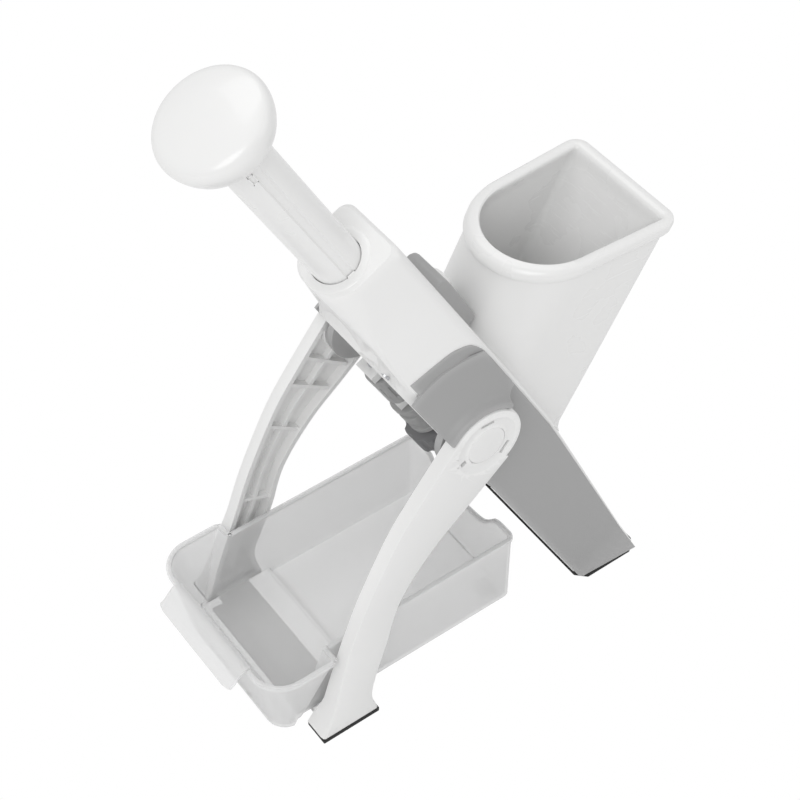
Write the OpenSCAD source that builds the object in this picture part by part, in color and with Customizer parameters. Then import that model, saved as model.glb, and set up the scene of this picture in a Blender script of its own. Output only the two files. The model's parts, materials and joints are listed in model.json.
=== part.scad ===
// Push-plunger french fry cutter that stands on its own body and a pair of swing-out legs.
// Frame: the origin lies on the table, under the middle of the whole outline.
// +X points to the back, where the body stands, +Y to the far side, +Z up.  Millimetres.
// The leaning body is drawn in its own frame: there X is the depth through the body,
// Y runs across it and Z runs along the plunger.

/* [Stance] */
// Slope of the body above the table
body_angle = 61.8; // [60:0.1:63]
// Position of the leg pivot along the plunger
pivot_u = 161.8; // [160:0.1:164]
// Thickness of the rubber foot pads
pad_t = 3.5; // [3:0.1:4]

/* [Body] */
// Depth position of the body's front face
body_front = 72; // [71:0.1:73]
// Depth position of the body's back face, where the chute stands
body_back = 124.4; // [124:0.1:125]
// Position of the body's top end along the plunger
body_top = 292.5; // [291:0.5:296]
// Half width of the body at its foot
foot_half = 66.4; // [65:0.1:67]
// Half width of the body where the side covers end
shoulder_half = 43; // [42.5:0.1:43.5]
// Half width of the body's top end
top_half = 23; // [22.6:0.1:24]
// Wall of the housing
wall = 2.6; // [2:0.1:2.8]
// Thickness of the grey side covers
cover_t = 3.2; // [2.6:0.1:3.6]
// Upper end of the grey side covers
cover_top = 224; // [222:0.5:226]

/* [Plunger] */
// Diameter of the plunger rod
rod_d = 28.2; // [27:0.1:29]
// Depth position of the plunger rod
rod_x = 97.6; // [97:0.1:98]
// Diameter of the knob
knob_d = 60.8; // [54:0.1:64]
// Position of the knob's underside along the plunger
knob_z = 418; // [412:0.5:420]
// Travel of the plunger
stroke = 88; // [80:1:88]

/* [Feed chute] */
// Height of the chute's rim above the table
rim_h = 256; // [250:1:262]
// Slope of the chute
chute_angle = 62; // [60:0.5:64]
// Back edge of the rim
rim_back = 151.9; // [148:0.1:154]
// Front of the rounded side of the rim
rim_front = 45.4; // [43:0.1:48]
// Half width of the rim at its flat back
rim_half = 45.5; // [44:0.1:47]
// Wall of the chute
chute_wall = 3; // [2.5:0.1:3.4]
// Overhang of the chute's rolled rim
rim_over = 3; // [2:0.1:4]

/* [Legs] */
// Room between the side covers and the legs
leg_gap = 5.5; // [5:0.1:7]
// Outward step of the feet from the legs' outer faces
foot_step = 6.5; // [5:0.1:8]
// Thickness of the legs
leg_t = 9; // [8.6:0.1:9.4]
// Radius of the leg's round end at the pivot
hub_r = 24.4; // [23:0.1:25]

/* [Container] */
// Height of the catch container
tub_h = 60; // [56:1:62]
// Room between the container and the legs
leg_clear = 4.7; // [4:0.1:6]
// Step of the container's half width in front of the legs
tub_step = 10.7; // [9:0.1:12]
// Back of the container
tub_back = 37.2; // [34:0.1:38]
// Front of the container
tub_front = -148.1; // [-152:0.1:-140]
// Wall of the container
tub_wall = 1.8; // [1.5:0.1:2]

/* [Knives] */
// Thickness of the slicing blade
blade_t = 0.8; // [0.6:0.1:0.9]
// Pitch of the fry knives
fry_pitch = 9; // [7:0.5:12]

/* [Hidden] */
$fn = 48;
soft_fn = 32;
eps = 0.05;
frame_depth = 8;
gap = 0.3;
fit_gap = 0.05;
big = 600;
over = 1;
foot_u = -40.5;
pivot_depth = 14.76;
pivot_x = body_front + pivot_depth;
pivot_z = pivot_u;
hub_x = pivot_x * sin(body_angle) - pivot_z * cos(body_angle);
pivot_h = pivot_x * cos(body_angle) + pivot_z * sin(body_angle);
shoulder_z = 221;
lower_flare = (foot_half - shoulder_half) / (shoulder_z - foot_u);
function half_at(z) = shoulder_half + (shoulder_z - z) * lower_flare;
leg_y = half_at(pivot_z) + cover_t + leg_gap + leg_t;
foot_y = leg_y + foot_step;
tub_half = leg_y - leg_t - leg_clear;
tub_wide = tub_half + tub_step;
shell_x = body_front + frame_depth;
rod_r = rod_d / 2;
flange_r = top_half - 1.4;
flange_t = 1;
sleeve_r = 16.6;
sleeve_low = 276;
shell_low = -120;
taper_z = 110;
back_taper = 0.076;
lip_out = 15.5;
origin_x = (rim_back + tub_front - lip_out) / 2;
strip_w = 2.6;
cover_x0 = body_front + 0.8;
cover_x1 = body_back - strip_w;
cover_step = 7.4;
cover_step_z0 = 168;
cover_step_z1 = 177;
bevel_z = 11;
curve_z = 30;
boss_in = 2.4;
boss_y = leg_y - leg_t - boss_in;
hood_in = 0.6;
hood_y = leg_y - hood_in;
hood_t = 2.8;
hood_foot = 9;
hood_from = 32;
hood_to = 150;
pin_r = 6;
pin_in = 40;
deck_y = 31;
deck_z0 = 80;
deck_z1 = 166;
guide_y = 38.5;
guide_x = 100;
guide_r = 2.5;
guide_z0 = 14;
guide_z1 = 196;
bracket_t = 6;
guide_land = 4;
ear_z = 172;
ear_t = 10;
spring_r = 4;
spring_wire = 1.1;
spring_turns = 17;
rail_in = 31;
rail_out = 33.4;
sled_back = 117;
sled_front = 88;
sled_z0 = 84.6;
sled_z1 = 184;
cup_z0 = 252;
cup_z1 = 272;
cup_r = 17.2;
neck_y = 15;
neck_x0 = 108;
heel_in = 4.5;
heel_z = 144;
ear_half = 5;
neck_flare = 6;
neck_rise = 14;
strut_deep = 7;
tie_t = 4;
tie_z0 = 124;
tie_z1 = 168;
window_y = 14;
tab_half = 7.5;
blade_z = 167;
blade_skew = 7;
plate_x = 113;
plate_t = 3;
plate_z0 = 86;
plate_z1 = 160;
comb_z = 162;
comb_t = 2;
comb_x = 101;
comb_tip = 112;
comb_tooth = 0.8;
shaft_x = 74;
shaft_y = 22;
shaft_r = 3;
shaft_z0 = 66;
shaft_z1 = 170;
dial_z0 = 66;
dial_z1 = 84;
dial_r = 15.5;
cam_z0 = 87;
cam_z1 = 119;
cam_r = 10.5;
drum_z0 = 130;
drum_z1 = 160;
drum_r = 9;
tab_t = 6;
tab_zs = [drum_z0 - tab_t - over, shaft_z1 - tab_t - over];
rim_side = 42.9;
rim_mid = 88;
lip_w = 8.5;
lip_round = 1.4;
lip_h = 8;
lip_top = 3;
chute_low = 60;
chute_taper = 0.95;
corner_r = 10;
base_t = 2.4;
base_low = 46;
base_half = 42;
base_z0 = 74;
base_z1 = 177;
latch_z0 = 182.5;
latch_z1 = 231;
latch_y = 14;
latch_h = 8.6;
tub_run = 21.1;
tunnel_x0 = tub_front + tub_run;
tunnel_len = 48.4;
tunnel_x1 = tunnel_x0 + tunnel_len;
rear_base = 2;
bar_room = 5.5;
bar_x0 = tunnel_x0 + bar_room;
bar_len = 29.5;
bar_x1 = bar_x0 + bar_len;
bar_h = 7;
tunnel_h = bar_h + gap;
foot_w_in = 10.6;
foot_in = leg_y - foot_w_in;
foot_room = 7.2;
foot_front = tunnel_x0 + foot_room;
foot_run = 40.4;
foot_back = foot_front + foot_run;
jog_run = 23.2;
jog_x = tunnel_x0 + jog_run;
screw_r = 1.5;
head_r = 3;
head_t = 1.6;

// Shift from the pivot's plumb line to the part's origin
module on_table() {
    translate([-origin_x, 0, 0])
        children();
}

// Frame of the leaning body
module tilt() {
    rotate([0, body_angle - 90, 0])
        children();
}
module lean() {
    on_table()
        tilt()
            children();
}

// A depth profile given as [x, z], carried across the body
module across(span) {
    rotate([90, 0, 0])
        linear_extrude(height = span, center = true)
            children();
}

// A front view given as [y, z], carried through the depth
module through(from, to) {
    translate([from, 0, 0])
        rotate([90, 0, 90])
            linear_extrude(height = to - from)
                children();
}

// A box given by its two ends on each axis
module span_box(x, y, z) {
    translate([x[0], y[0], z[0]])
        cube([x[1] - x[0], y[1] - y[0], z[1] - z[0]]);
}

// A rod along Y between two ends
module rod_y(r, x, z, y0, y1) {
    translate([x, y0, z])
        rotate([-90, 0, 0])
            cylinder(r = r, h = y1 - y0);
}

// A rod along the depth of the body
module rod_x_axis(r, y, z, x0, x1) {
    translate([x0, y, z])
        rotate([0, 90, 0])
            cylinder(r = r, h = x1 - x0);
}

// Everything below a level of the table frame
module below(level) {
    translate([-big, -big, level - big])
        cube([2 * big, 2 * big, big]);
}

// Smooth curve through a few points
function smooth_at(p, i, t) = let (
        n = len(p) - 1,
        a = p[max(i - 1, 0)],
        b = p[i],
        c = p[min(i + 1, n)],
        d = p[min(i + 2, n)])
    0.5 * (2 * b + (c - a) * t + (2 * a - 5 * b + 4 * c - d) * t * t
        + (3 * b - a - 3 * c + d) * t * t * t);
function smooth(p, steps) = concat(
    [for (i = [0:len(p) - 2]) for (k = [0:steps - 1]) smooth_at(p, i, k / steps)],
    [p[len(p) - 1]]);
function backwards(p) = [for (i = [len(p) - 1:-1:0]) p[i]];

// Half width of the body at a place along the plunger
shoulder_run = body_top - shoulder_z;
shoulder_shares = [[0, 0], [0.25, 0.2], [0.5, 0.42], [0.75, 0.68], [0.93, 0.87], [1, 1]];
function shoulder_line(inset) = smooth([for (s = shoulder_shares)
    [shoulder_half - s[1] * (shoulder_half - top_half) - inset,
        shoulder_z + s[0] * (shoulder_run - inset)]], 4);

// Front view of the body, with or without an inset
function body_outline(inset) = let (
        right = concat([[half_at(shell_low) - inset, shell_low]], shoulder_line(inset)))
    concat(right, [for (q = backwards(right)) [-q[0], q[1]]]);

// Depth profile of the body, rounded over its top end
top_round = 9;
front_round = 14;
function low_back(x1) = x1 - (taper_z - shell_low) * back_taper;
function body_profile(x0, x1, inset) = concat(
    [[x0, shell_low], [low_back(x1), shell_low], [x1, taper_z]],
    [for (a = [0:15:90])
        [x1 - top_round * (1 - cos(a)), body_top - inset - top_round * (1 - sin(a))]],
    [for (a = [90:15:180])
        [x0 + front_round * (1 + cos(a)), body_top - inset - front_round * (1 - sin(a))]]);

module housing_block(x0, x1, inset) {
    intersection() {
        through(x0, x1)
            polygon(body_outline(inset));
        across(big)
            polygon(body_profile(x0, x1, inset));
    }
}

// White shell with the deck that the chute stands on
module main_housing() {
    color([0.95, 0.95, 0.94])
        difference() {
            lean()
                union() {
                    difference() {
                        housing_block(body_front, body_back, 0);
                        housing_block(shell_x - top_round - wall, body_back - wall, wall);
                        span_box([body_front - over, shell_x], [-big, big], [shell_low - over, big]);
                        span_box([body_back - wall - over, body_back + over], [-deck_y, deck_y],
                            [deck_z0, deck_z1]);
                        translate([rod_x, 0, sleeve_low])
                            cylinder(r = sleeve_r, h = body_top - sleeve_low + over);
                        frame_bores();
                    }
                    intersection() {
                        difference() {
                            screw_bosses();
                            frame_bores();
                        }
                        housing_block(shell_x, body_back, wall / 2);
                    }
                    for (side = [-1, 1]) {
                        guide_bracket(side, guide_z0, half_at(guide_z0) - wall + eps);
                        guide_bracket(side, guide_z1 - bracket_t, half_at(guide_z1) - wall + eps);
                        pin_bush(side);
                    }
                }
            lean()
                rod_y(pin_r, pivot_x, pivot_z, -big / 2, big / 2);
            below(pad_t);
        }
}

module guide_bracket(side, z, wall_y) {
    difference() {
        span_box([guide_x - bracket_t, guide_x + bracket_t],
            side > 0 ? [guide_y - guide_land, wall_y] : [-wall_y, guide_land - guide_y],
            [z, z + bracket_t]);
        translate([guide_x, side * guide_y, z - over])
            cylinder(r = guide_r, h = bracket_t + 2 * over);
    }
}

// Thick ring inside the housing that holds a pivot pin
bush_r = 9;
bush_in = 43.6;
bush_out = half_at(pivot_z) - wall + eps;
module pin_bush(side) {
    rod_y(bush_r, pivot_x, pivot_z, side > 0 ? bush_in : -bush_out, side > 0 ? bush_out : -bush_in);
}

// White frame round the open front, with bevelled sides
frame_top_z = 178;
frame_rib_z = 250;
frame_open_y = 41;
frame_flare = 20.5;
frame_bevel = 6;
frame_step = 5;
frame_sink = 2.6;
frame_land = 8;
snap_z = 96;
snap_size = 5;
snap_in = 2.4;
nose_z0 = 226;
nose_z1 = 262;
nose_r = 23.2;
nose_x = shell_x + gap;
nose_half = 31;

// Outer form of the frame's top end, a round nose about the rod
module nose() {
    hull() {
        span_box([body_front, body_back], [-2 * nose_half, 2 * nose_half], [shell_low, nose_z0]);
        span_box([nose_x, body_back], [-nose_half, nose_half], [nose_z1, body_top]);
        translate([rod_x, 0, nose_z1])
            cylinder(r = nose_r, h = body_top - nose_z1);
    }
}
module front_frame() {
    color([0.93, 0.93, 0.92])
        difference() {
            lean()
                difference() {
                    intersection() {
                        nose();
                        union() {
                            housing_block(body_front, body_back, frame_bevel);
                            intersection() {
                                housing_block(body_front, body_back, 0);
                                span_box([body_front + frame_step, body_back], [-big, big],
                                    [shell_low, big]);
                            }
                        }
                        span_box([body_front, shell_x], [-big, big], [shell_low, big]);
                    }
                    span_box([body_front - over, body_front + frame_sink],
                        [frame_land - shoulder_half, shoulder_half - frame_land],
                        [frame_top_z, frame_rib_z]);
                    through(body_front - over, shell_x + over)
                        polygon([[-frame_open_y, frame_top_z], [frame_open_y, frame_top_z],
                            [frame_open_y + frame_flare, foot_u], [frame_open_y + frame_flare, shell_low],
                            [-frame_open_y - frame_flare, shell_low], [-frame_open_y - frame_flare, foot_u]]);
                    for (side = [-1, 1])
                        translate([body_front - over, side * (half_at(snap_z) - snap_in) - snap_size / 2,
                            snap_z])
                            cube([2 * frame_depth, snap_size, snap_size]);
                    rod_y(bush_r + gap, pivot_x, pivot_z, -big / 2, big / 2);
                    frame_bores();
                }
            below(pad_t);
        }
}

// Screws that hold the front frame on bosses of the housing
screw_end = 12;
screw_zs = [frame_top_z + screw_end, nose_z0];
screw_y = 28;
screw_len = 18;
boss_len = 16;
screw_boss_r = 4;
screw_face = body_front + frame_sink;
module each_screw() {
    for (side = [-1, 1])
        for (z = screw_zs)
            translate([0, side * screw_y, z])
                children();
}
module depth_rod(r, x0, x1) {
    translate([x0, 0, 0])
        rotate([0, 90, 0])
            cylinder(r = r, h = x1 - x0);
}
module frame_bores() {
    each_screw()
        depth_rod(screw_r, body_front - over, screw_face + screw_len + over);
}
module screw_bosses() {
    each_screw()
        depth_rod(screw_boss_r, shell_x, shell_x + boss_len);
}
module frame_screws() {
    color([0.72, 0.73, 0.75])
        lean()
            each_screw()
                union() {
                    depth_rod(head_r, screw_face - head_t, screw_face);
                    depth_rod(screw_r, screw_face - eps, screw_face + screw_len);
                }
}

// Grey side covers with the round guard of the pivot
module cover_band() {
    through(cover_x0, cover_x1)
        polygon([[half_at(shell_low) + eps, shell_low], [half_at(shell_low) + cover_t, shell_low],
            [half_at(cover_top - bevel_z) + cover_t, cover_top - bevel_z],
            [half_at(cover_top) + cover_lip, cover_top], [half_at(cover_top) + eps, cover_top]]);
}
cover_lip = 0.8;
cover_top_shares = [[1, 1], [0.985, 0.66], [0.945, 0.45], [0.89, 0.34], [0.77, 0.21], [0.63, 0.12],
    [0.43, 0.07], [0, 0]];
function cover_profile() = concat([[cover_x0, shell_low], [low_back(cover_x1), shell_low],
    [cover_x1, taper_z]],
    smooth([for (s = cover_top_shares)
        [body_front + cover_step + s[0] * (cover_x1 - body_front - cover_step),
            cover_top - s[1] * curve_z]], 3),
    [[body_front + cover_step, cover_step_z1], [cover_x0, cover_step_z0]]);

// Raised hood round the leg's disc, open where the leg swings
hood_shares = [[0, 0], [1, 0], [1, 0.12], [0.36, 0.52], [0.3, 0.96], [0.24, 1], [0, 1]];
module hood() {
    low = half_at(pivot_z) + cover_t / 2;
    translate([pivot_x, 0, pivot_z])
        rotate([0, body_tilt_back, 0])
            rotate([90, 0, 0])
                mirror([0, 0, 1])
                    rotate([0, 0, hood_from])
                        rotate_extrude(angle = hood_to - hood_from, $fn = 96)
                            polygon([for (s = hood_shares)
                                [hub_r + 2 * gap + s[0] * (hood_t + hood_foot),
                                    low + s[1] * (hood_y - low)]]);
}
body_tilt_back = 90 - body_angle;
module side_cover(side) {
    color([0.61, 0.61, 0.61])
        difference() {
            lean()
                mirror([0, side > 0 ? 0 : 1, 0])
                    difference() {
                        union() {
                            intersection() {
                                cover_band();
                                across(big)
                                    polygon(cover_profile());
                            }
                            difference() {
                                union() {
                                    rod_y(hub_r, pivot_x, pivot_z, half_at(pivot_z) - over, boss_y);
                                    intersection() {
                                        hood();
                                        span_box([body_front, cover_x1], [0, big],
                                            [shell_low, cover_top]);
                                    }
                                }
                                through(cover_x0 - big / 2, cover_x1 + big / 2)
                                    polygon([[0, shell_low], [half_at(shell_low) + eps, shell_low],
                                        [half_at(cover_top) + eps, cover_top], [0, cover_top]]);
                            }
                        }
                        rod_y(pin_r, pivot_x, pivot_z, -big / 2, big / 2);
                    }
            below(pad_t);
        }
}

// Ring and sleeve that the plunger rod runs in
key_w = 5.4;
key_d = 1;
module rod_collar() {
    color([0.96, 0.96, 0.95])
        lean()
            translate([rod_x, 0, 0])
                difference() {
                    union() {
                        translate([0, 0, body_top])
                            cylinder(r = flange_r, h = flange_t);
                        translate([0, 0, sleeve_low])
                            cylinder(r = sleeve_r, h = body_top - sleeve_low + eps);
                    }
                    translate([0, 0, sleeve_low - over])
                        cylinder(r = rod_r + fit_gap, h = big);
                }
}

// Plan outline of the chute: flat back with round corners, straight sides, round front
function d_outline(back, front, half_back, half_side, r) = concat(
    [for (a = [-90:15:0]) [back - r + r * cos(a), -half_back + r + r * sin(a)]],
    [for (a = [0:15:90]) [back - r + r * cos(a), half_back - r + r * sin(a)]],
    [for (a = [90:7.5:270]) [rim_mid + (rim_mid - front) * cos(a), half_side * sin(a)]]);
function lip_outline(grow) = d_outline(rim_back + grow, rim_front - grow, rim_half + grow,
    rim_side + grow, corner_r + grow);
chute_run = (rim_h - chute_low) / tan(chute_angle);
module chute_form(grow, top_cut) {
    hull() {
        translate([0, 0, rim_h - top_cut])
            linear_extrude(height = eps)
                polygon(lip_outline(grow));
        translate([rim_mid - chute_run, 0, chute_low])
            scale(chute_taper)
                translate([-rim_mid, 0, 0])
                    linear_extrude(height = eps)
                        polygon(lip_outline(grow));
    }
}
module rim_ring(low, high, outside, inside) {
    translate([0, 0, low])
        linear_extrude(height = high - low)
            difference() {
                polygon(lip_outline(-outside));
                polygon(lip_outline(-inside));
            }
}
module feed_chute() {
    color([0.93, 0.93, 0.92])
        on_table()
            difference() {
                union() {
                    difference() {
                        chute_form(-rim_over, lip_h);
                        chute_form(-rim_over - chute_wall, -over);
                    }
                    rim_ring(rim_h - lip_h, rim_h - lip_top, 0, lip_w);
                    rim_ring(rim_h - lip_top - eps, rim_h, lip_round, lip_w - lip_round / 2);
                    tilt()
                        difference() {
                            through(body_back, body_back + base_t)
                                polygon([[-base_low, base_z0], [base_low, base_z0],
                                    [base_half, base_z1], [-base_half, base_z1]]);
                            span_box([body_back - over, body_back + base_t + over], [-deck_y, deck_y],
                                [deck_z0, deck_z1]);
                        }
                }
                tilt()
                    span_box([-big, body_back], [-big, big], [-big, big]);
            }
}

// Sliding catch in front of the chute, and its round button
module chute_latch() {
    color([0.62, 0.62, 0.62])
        lean()
            difference() {
                across(2 * latch_y)
                    polygon([for (s = latch_shares)
                        [body_back + gap + s[0] * latch_h, latch_z0 + s[1] * (latch_z1 - latch_z0)]]);
                rod_x_axis(button_r, 0, button_z, body_back + latch_h - button_sink,
                    body_back + 2 * latch_h);
            }
}
latch_shares = [[0, 0], [0.9, 0], [1, 0.02], [1.04, 0.4], [1.05, 0.75], [0.97, 0.93], [0.84, 0.985],
    [0.66, 1], [0, 1]];
button_r = 7.5;
button_h = 5;
button_sink = 2;
button_drop = 17;
button_z = latch_z1 - button_drop;
button_shares = [[0, 0], [1, 0], [1, 0.42], [0.9, 0.66], [0.66, 0.86], [0.34, 0.97], [0, 1]];
module latch_button() {
    color([0.97, 0.97, 0.96])
        lean()
            translate([body_back + latch_h - button_sink, 0, button_z])
                rotate([0, 90, 0])
                    rotate_extrude()
                        polygon([for (s = button_shares) [s[0] * button_r, s[1] * button_h]]);
}

// Plunger rod with its guide groove
cup_floor = 2;
rod_low = cup_z0 + cup_floor;
rod_seat = 6;
rod_top = knob_z + rod_seat;
groove_end = 8;
module plunger_rod() {
    color([0.95, 0.95, 0.94])
        lean()
            translate([rod_x, 0, rod_low])
                difference() {
                    cylinder(r = rod_r, h = rod_top - rod_low);
                    translate([-key_w / 2, -rod_r - over, groove_end])
                        cube([key_w, key_d + over, knob_z - rod_low - 2 * groove_end]);
                }
}

// Mushroom knob
knob_h = 22.5;
knob_neck = 3;
module plunger_knob() {
    color([0.97, 0.97, 0.96])
        lean()
            translate([rod_x, 0, knob_z])
                difference() {
                    rotate_extrude()
                        polygon(knob_section());
                    translate([0, 0, -over])
                        cylinder(r = rod_r, h = rod_seat + over);
                }
}
rim_shares = [[0.55, 0], [0.84, 0.02], [0.93, 0.2], [0.985, 0.42], [1, 0.57], [0.985, 0.7], [0.93, 0.8],
    [0.8, 0.88], [0.5, 0.96], [0.2, 0.995], [0, 1]];
function knob_section() = concat([[0, 0]],
    smooth([for (s = rim_shares) [s[0] * knob_d / 2, s[1] * knob_h]], 3));

// Carriage of the blade, pushed by the rod and guided by the two steel rods
module blade_sled() {
    color([0.78, 0.79, 0.8])
        lean()
            difference() {
                union() {
                    through(neck_x0, sled_back)
                        polygon([[-rail_out, ear_z], [rail_out, ear_z], [rail_out, sled_z1],
                            [neck_y + neck_flare, sled_z1 + neck_rise], [neck_y, cup_z1],
                            [-neck_y, cup_z1], [-neck_y - neck_flare, sled_z1 + neck_rise],
                            [-rail_out, sled_z1]]);
                    for (side = [-1, 1]) {
                        translate([0, side * (rail_in + rail_out) / 2, 0])
                            across(rail_out - rail_in)
                                polygon([[sled_front, sled_z0], [sled_back - heel_in, sled_z0],
                                    [sled_back, heel_z], [sled_back, sled_z1], [sled_front, sled_z1]]);
                        span_box([guide_x - ear_half, guide_x + ear_half],
                            side > 0 ? [rail_in, guide_y + guide_land] : [-guide_y - guide_land, -rail_in],
                            [ear_z, ear_z + ear_t]);
                        span_box([neck_x0 - strut_deep, neck_x0],
                            side > 0 ? [neck_y - over, neck_y + 2 * over] : [-neck_y - 2 * over, over - neck_y],
                            [ear_z, cup_z0 + 2 * over]);
                    }
                    translate([rod_x, 0, cup_z0])
                        cylinder(r = cup_r, h = cup_z1 - cup_z0);
                    span_box([sled_front, sled_front + tie_t], [-rail_out, rail_out], [tie_z0, tie_z1]);
                    for (z = tab_zs)
                        span_box([shaft_x - tab_half, sled_front + over],
                            [shaft_y - tab_half, shaft_y + tab_half], [z, z + tab_t]);
                }
                for (side = [-1, 1])
                    translate([guide_x, side * guide_y, ear_z - over])
                        cylinder(r = guide_r + fit_gap, h = ear_t + 2 * over);
                translate([rod_x, 0, rod_low])
                    cylinder(r = rod_r, h = cup_z1 - rod_low + over);
                translate([shaft_x, shaft_y, shaft_z0])
                    cylinder(r = shaft_r + fit_gap, h = shaft_z1 - shaft_z0 + 2 * over);
                span_box([sled_front - over, sled_front + tie_t + over], [-window_y, window_y],
                    [tie_z0 - over, tie_z1 + over]);
                blade_bores();
            }
}
blade_pitch = 16;
blade_spots = [for (k = [-1.5:1:1.5]) k * blade_pitch];
blade_screw_z = (ear_z + sled_z1) / 2 + over;
blade_run = 9;
module blade_bores() {
    for (y = blade_spots)
        rod_x_axis(screw_r, y, blade_screw_z, sled_back - blade_run, sled_back + 2 * over);
}
module slicing_blade() {
    color([0.8, 0.81, 0.83])
        lean()
            difference() {
                through(sled_back, sled_back + blade_t)
                    polygon([[-rail_out, blade_z], [rail_out, blade_z + blade_skew],
                        [rail_out, sled_z1], [-rail_out, sled_z1]]);
                blade_bores();
            }
}
module blade_screws() {
    color([0.6, 0.61, 0.63])
        lean()
            for (y = blade_spots) {
                rod_x_axis(screw_r, y, blade_screw_z, sled_back - blade_run + over, sled_back + blade_t);
                rod_x_axis(head_r - fit_gap, y, blade_screw_z, sled_back + blade_t,
                    sled_back + blade_t + head_t / 2);
            }
}

module guide_rod(side) {
    color([0.75, 0.76, 0.78])
        lean()
            translate([guide_x, side * guide_y, guide_z0])
                cylinder(r = guide_r, h = guide_z1 - guide_z0);
}

// Return spring round a guide rod, as a wound wire of round turns
module return_spring(side) {
    spring_low = guide_z0 + bracket_t + spring_wire;
    spring_high = ear_z - spring_wire;
    pitch = (spring_high - spring_low) / spring_turns;
    steps = 12;
    path = [for (i = [0:spring_turns * steps])
        let (a = i * 360 / steps)
        [spring_r * cos(a), spring_r * sin(a), spring_low + pitch * i / steps]];
    color([0.55, 0.56, 0.58])
        lean()
            translate([guide_x, side * guide_y, 0])
                wire(path, spring_wire / 2);
}

// A wire swept along points, as one closed mesh with square-cut ends
wire_sides = 6;
module wire(path, r) {
    n = len(path);
    rings = [for (i = [0:n - 1])
        let (
            t = path[min(i + 1, n - 1)] - path[max(i - 1, 0)],
            f = t / norm(t),
            s0 = cross([0, 0, 1], f),
            s = s0 / norm(s0),
            q = cross(f, s))
        for (k = [0:wire_sides - 1])
            path[i] + r * cos(k * 360 / wire_sides) * s + r * sin(k * 360 / wire_sides) * q];
    sides = [for (i = [0:n - 2]) for (k = [0:wire_sides - 1])
        let (a = i * wire_sides + k, b = i * wire_sides + (k + 1) % wire_sides)
        each [[a, b, b + wire_sides], [a, b + wire_sides, a + wire_sides]]];
    low_end = [for (k = [wire_sides - 1:-1:0]) k];
    top_end = [for (k = [0:wire_sides - 1]) (n - 1) * wire_sides + k];
    polyhedron(points = rings, faces = concat(sides, [low_end], [top_end]));
}

// Runway plate that sets the slice thickness
rib_pitch = 12;
rib_t = 1.6;
rib_h = 3;
plate_bend = 134;
plate_in = 3.7;
function plate_profile(front, back) = [
    [plate_x - plate_in + front, plate_z0], [plate_x - plate_in + back, plate_z0],
    [plate_x + back, plate_bend], [plate_x + back, plate_z1],
    [plate_x + front, plate_z1], [plate_x + front, plate_bend]];
module thickness_plate() {
    color([0.85, 0.85, 0.85])
        lean()
            union() {
                across(2 * (rail_in - 2 * gap))
                    polygon(plate_profile(0, plate_t));
                for (k = [-2:2])
                    translate([0, k * rib_pitch, 0])
                        across(rib_t)
                            polygon(plate_profile(-rib_h, eps));
            }
}
module thickness_shaft() {
    color([0.7, 0.71, 0.73])
        lean()
            translate([shaft_x, shaft_y, shaft_z0])
                cylinder(r = shaft_r, h = shaft_z1 - shaft_z0);
}
grip_n = 10;
grip_r = 4;
grip_out = 2.6;
module thickness_knob() {
    color([0.36, 0.36, 0.37])
        lean()
            translate([shaft_x, shaft_y, dial_z0])
                difference() {
                    cylinder(r = dial_r, h = dial_z1 - dial_z0);
                    for (i = [0:grip_n - 1])
                        rotate([0, 0, i * 360 / grip_n])
                            translate([dial_r + grip_out, 0, -over])
                                cylinder(r = grip_r, h = dial_z1 - dial_z0 + 2 * over, $fn = 24);
                    translate([0, 0, -over])
                        cylinder(r = shaft_r, h = dial_z1 - dial_z0 + 2 * over);
                }
}
cam_core = 8.5;
cam_rim = 5;
lobe_h = 8;
module thickness_cam() {
    color([0.6, 0.6, 0.6])
        lean()
            translate([shaft_x, shaft_y, cam_z0])
                difference() {
                    union() {
                        cylinder(r = cam_core, h = cam_z1 - cam_z0);
                        for (z = [0, cam_z1 - cam_z0 - cam_rim])
                            translate([0, 0, z])
                                cylinder(r = cam_r, h = cam_rim);
                        translate([cam_core - cam_r + fit_gap, 0, (cam_z1 - cam_z0 - lobe_h) / 2])
                            cylinder(r = cam_core, h = lobe_h);
                    }
                    translate([0, 0, -over])
                        cylinder(r = shaft_r, h = cam_z1 - cam_z0 + 2 * over);
                }
}
flute_r = 1.4;
flute_out = 0.6;
flute_end = 8;
module julienne_drum() {
    color([0.58, 0.58, 0.58])
        lean()
            translate([shaft_x, shaft_y, drum_z0])
                difference() {
                    cylinder(r = drum_r, h = drum_z1 - drum_z0);
                    for (i = [0:grip_n - 1])
                        rotate([0, 0, i * 360 / grip_n])
                            translate([drum_r + flute_out, 0, flute_end])
                                cylinder(r = flute_r, h = drum_z1 - drum_z0 - 2 * flute_end, $fn = 16);
                    translate([0, 0, -over])
                        cylinder(r = shaft_r + fit_gap, h = drum_z1 - drum_z0 + 2 * over);
                }
}
// Row of upright knives that cuts the slices into fries
comb_edge = 4;
comb_root = 3;
comb_n = floor((rail_in - comb_edge) / fry_pitch);
module julienne_knives() {
    color([0.82, 0.83, 0.85])
        lean()
            union() {
                span_box([comb_x, comb_x + comb_root], [gap - rail_in, rail_in - gap],
                    [comb_z, comb_z + comb_t]);
                for (i = [-comb_n:comb_n])
                    span_box([comb_x, comb_tip], [i * fry_pitch - comb_tooth / 2, i * fry_pitch + comb_tooth / 2],
                        [comb_z, comb_z + comb_t]);
            }
}

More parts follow.
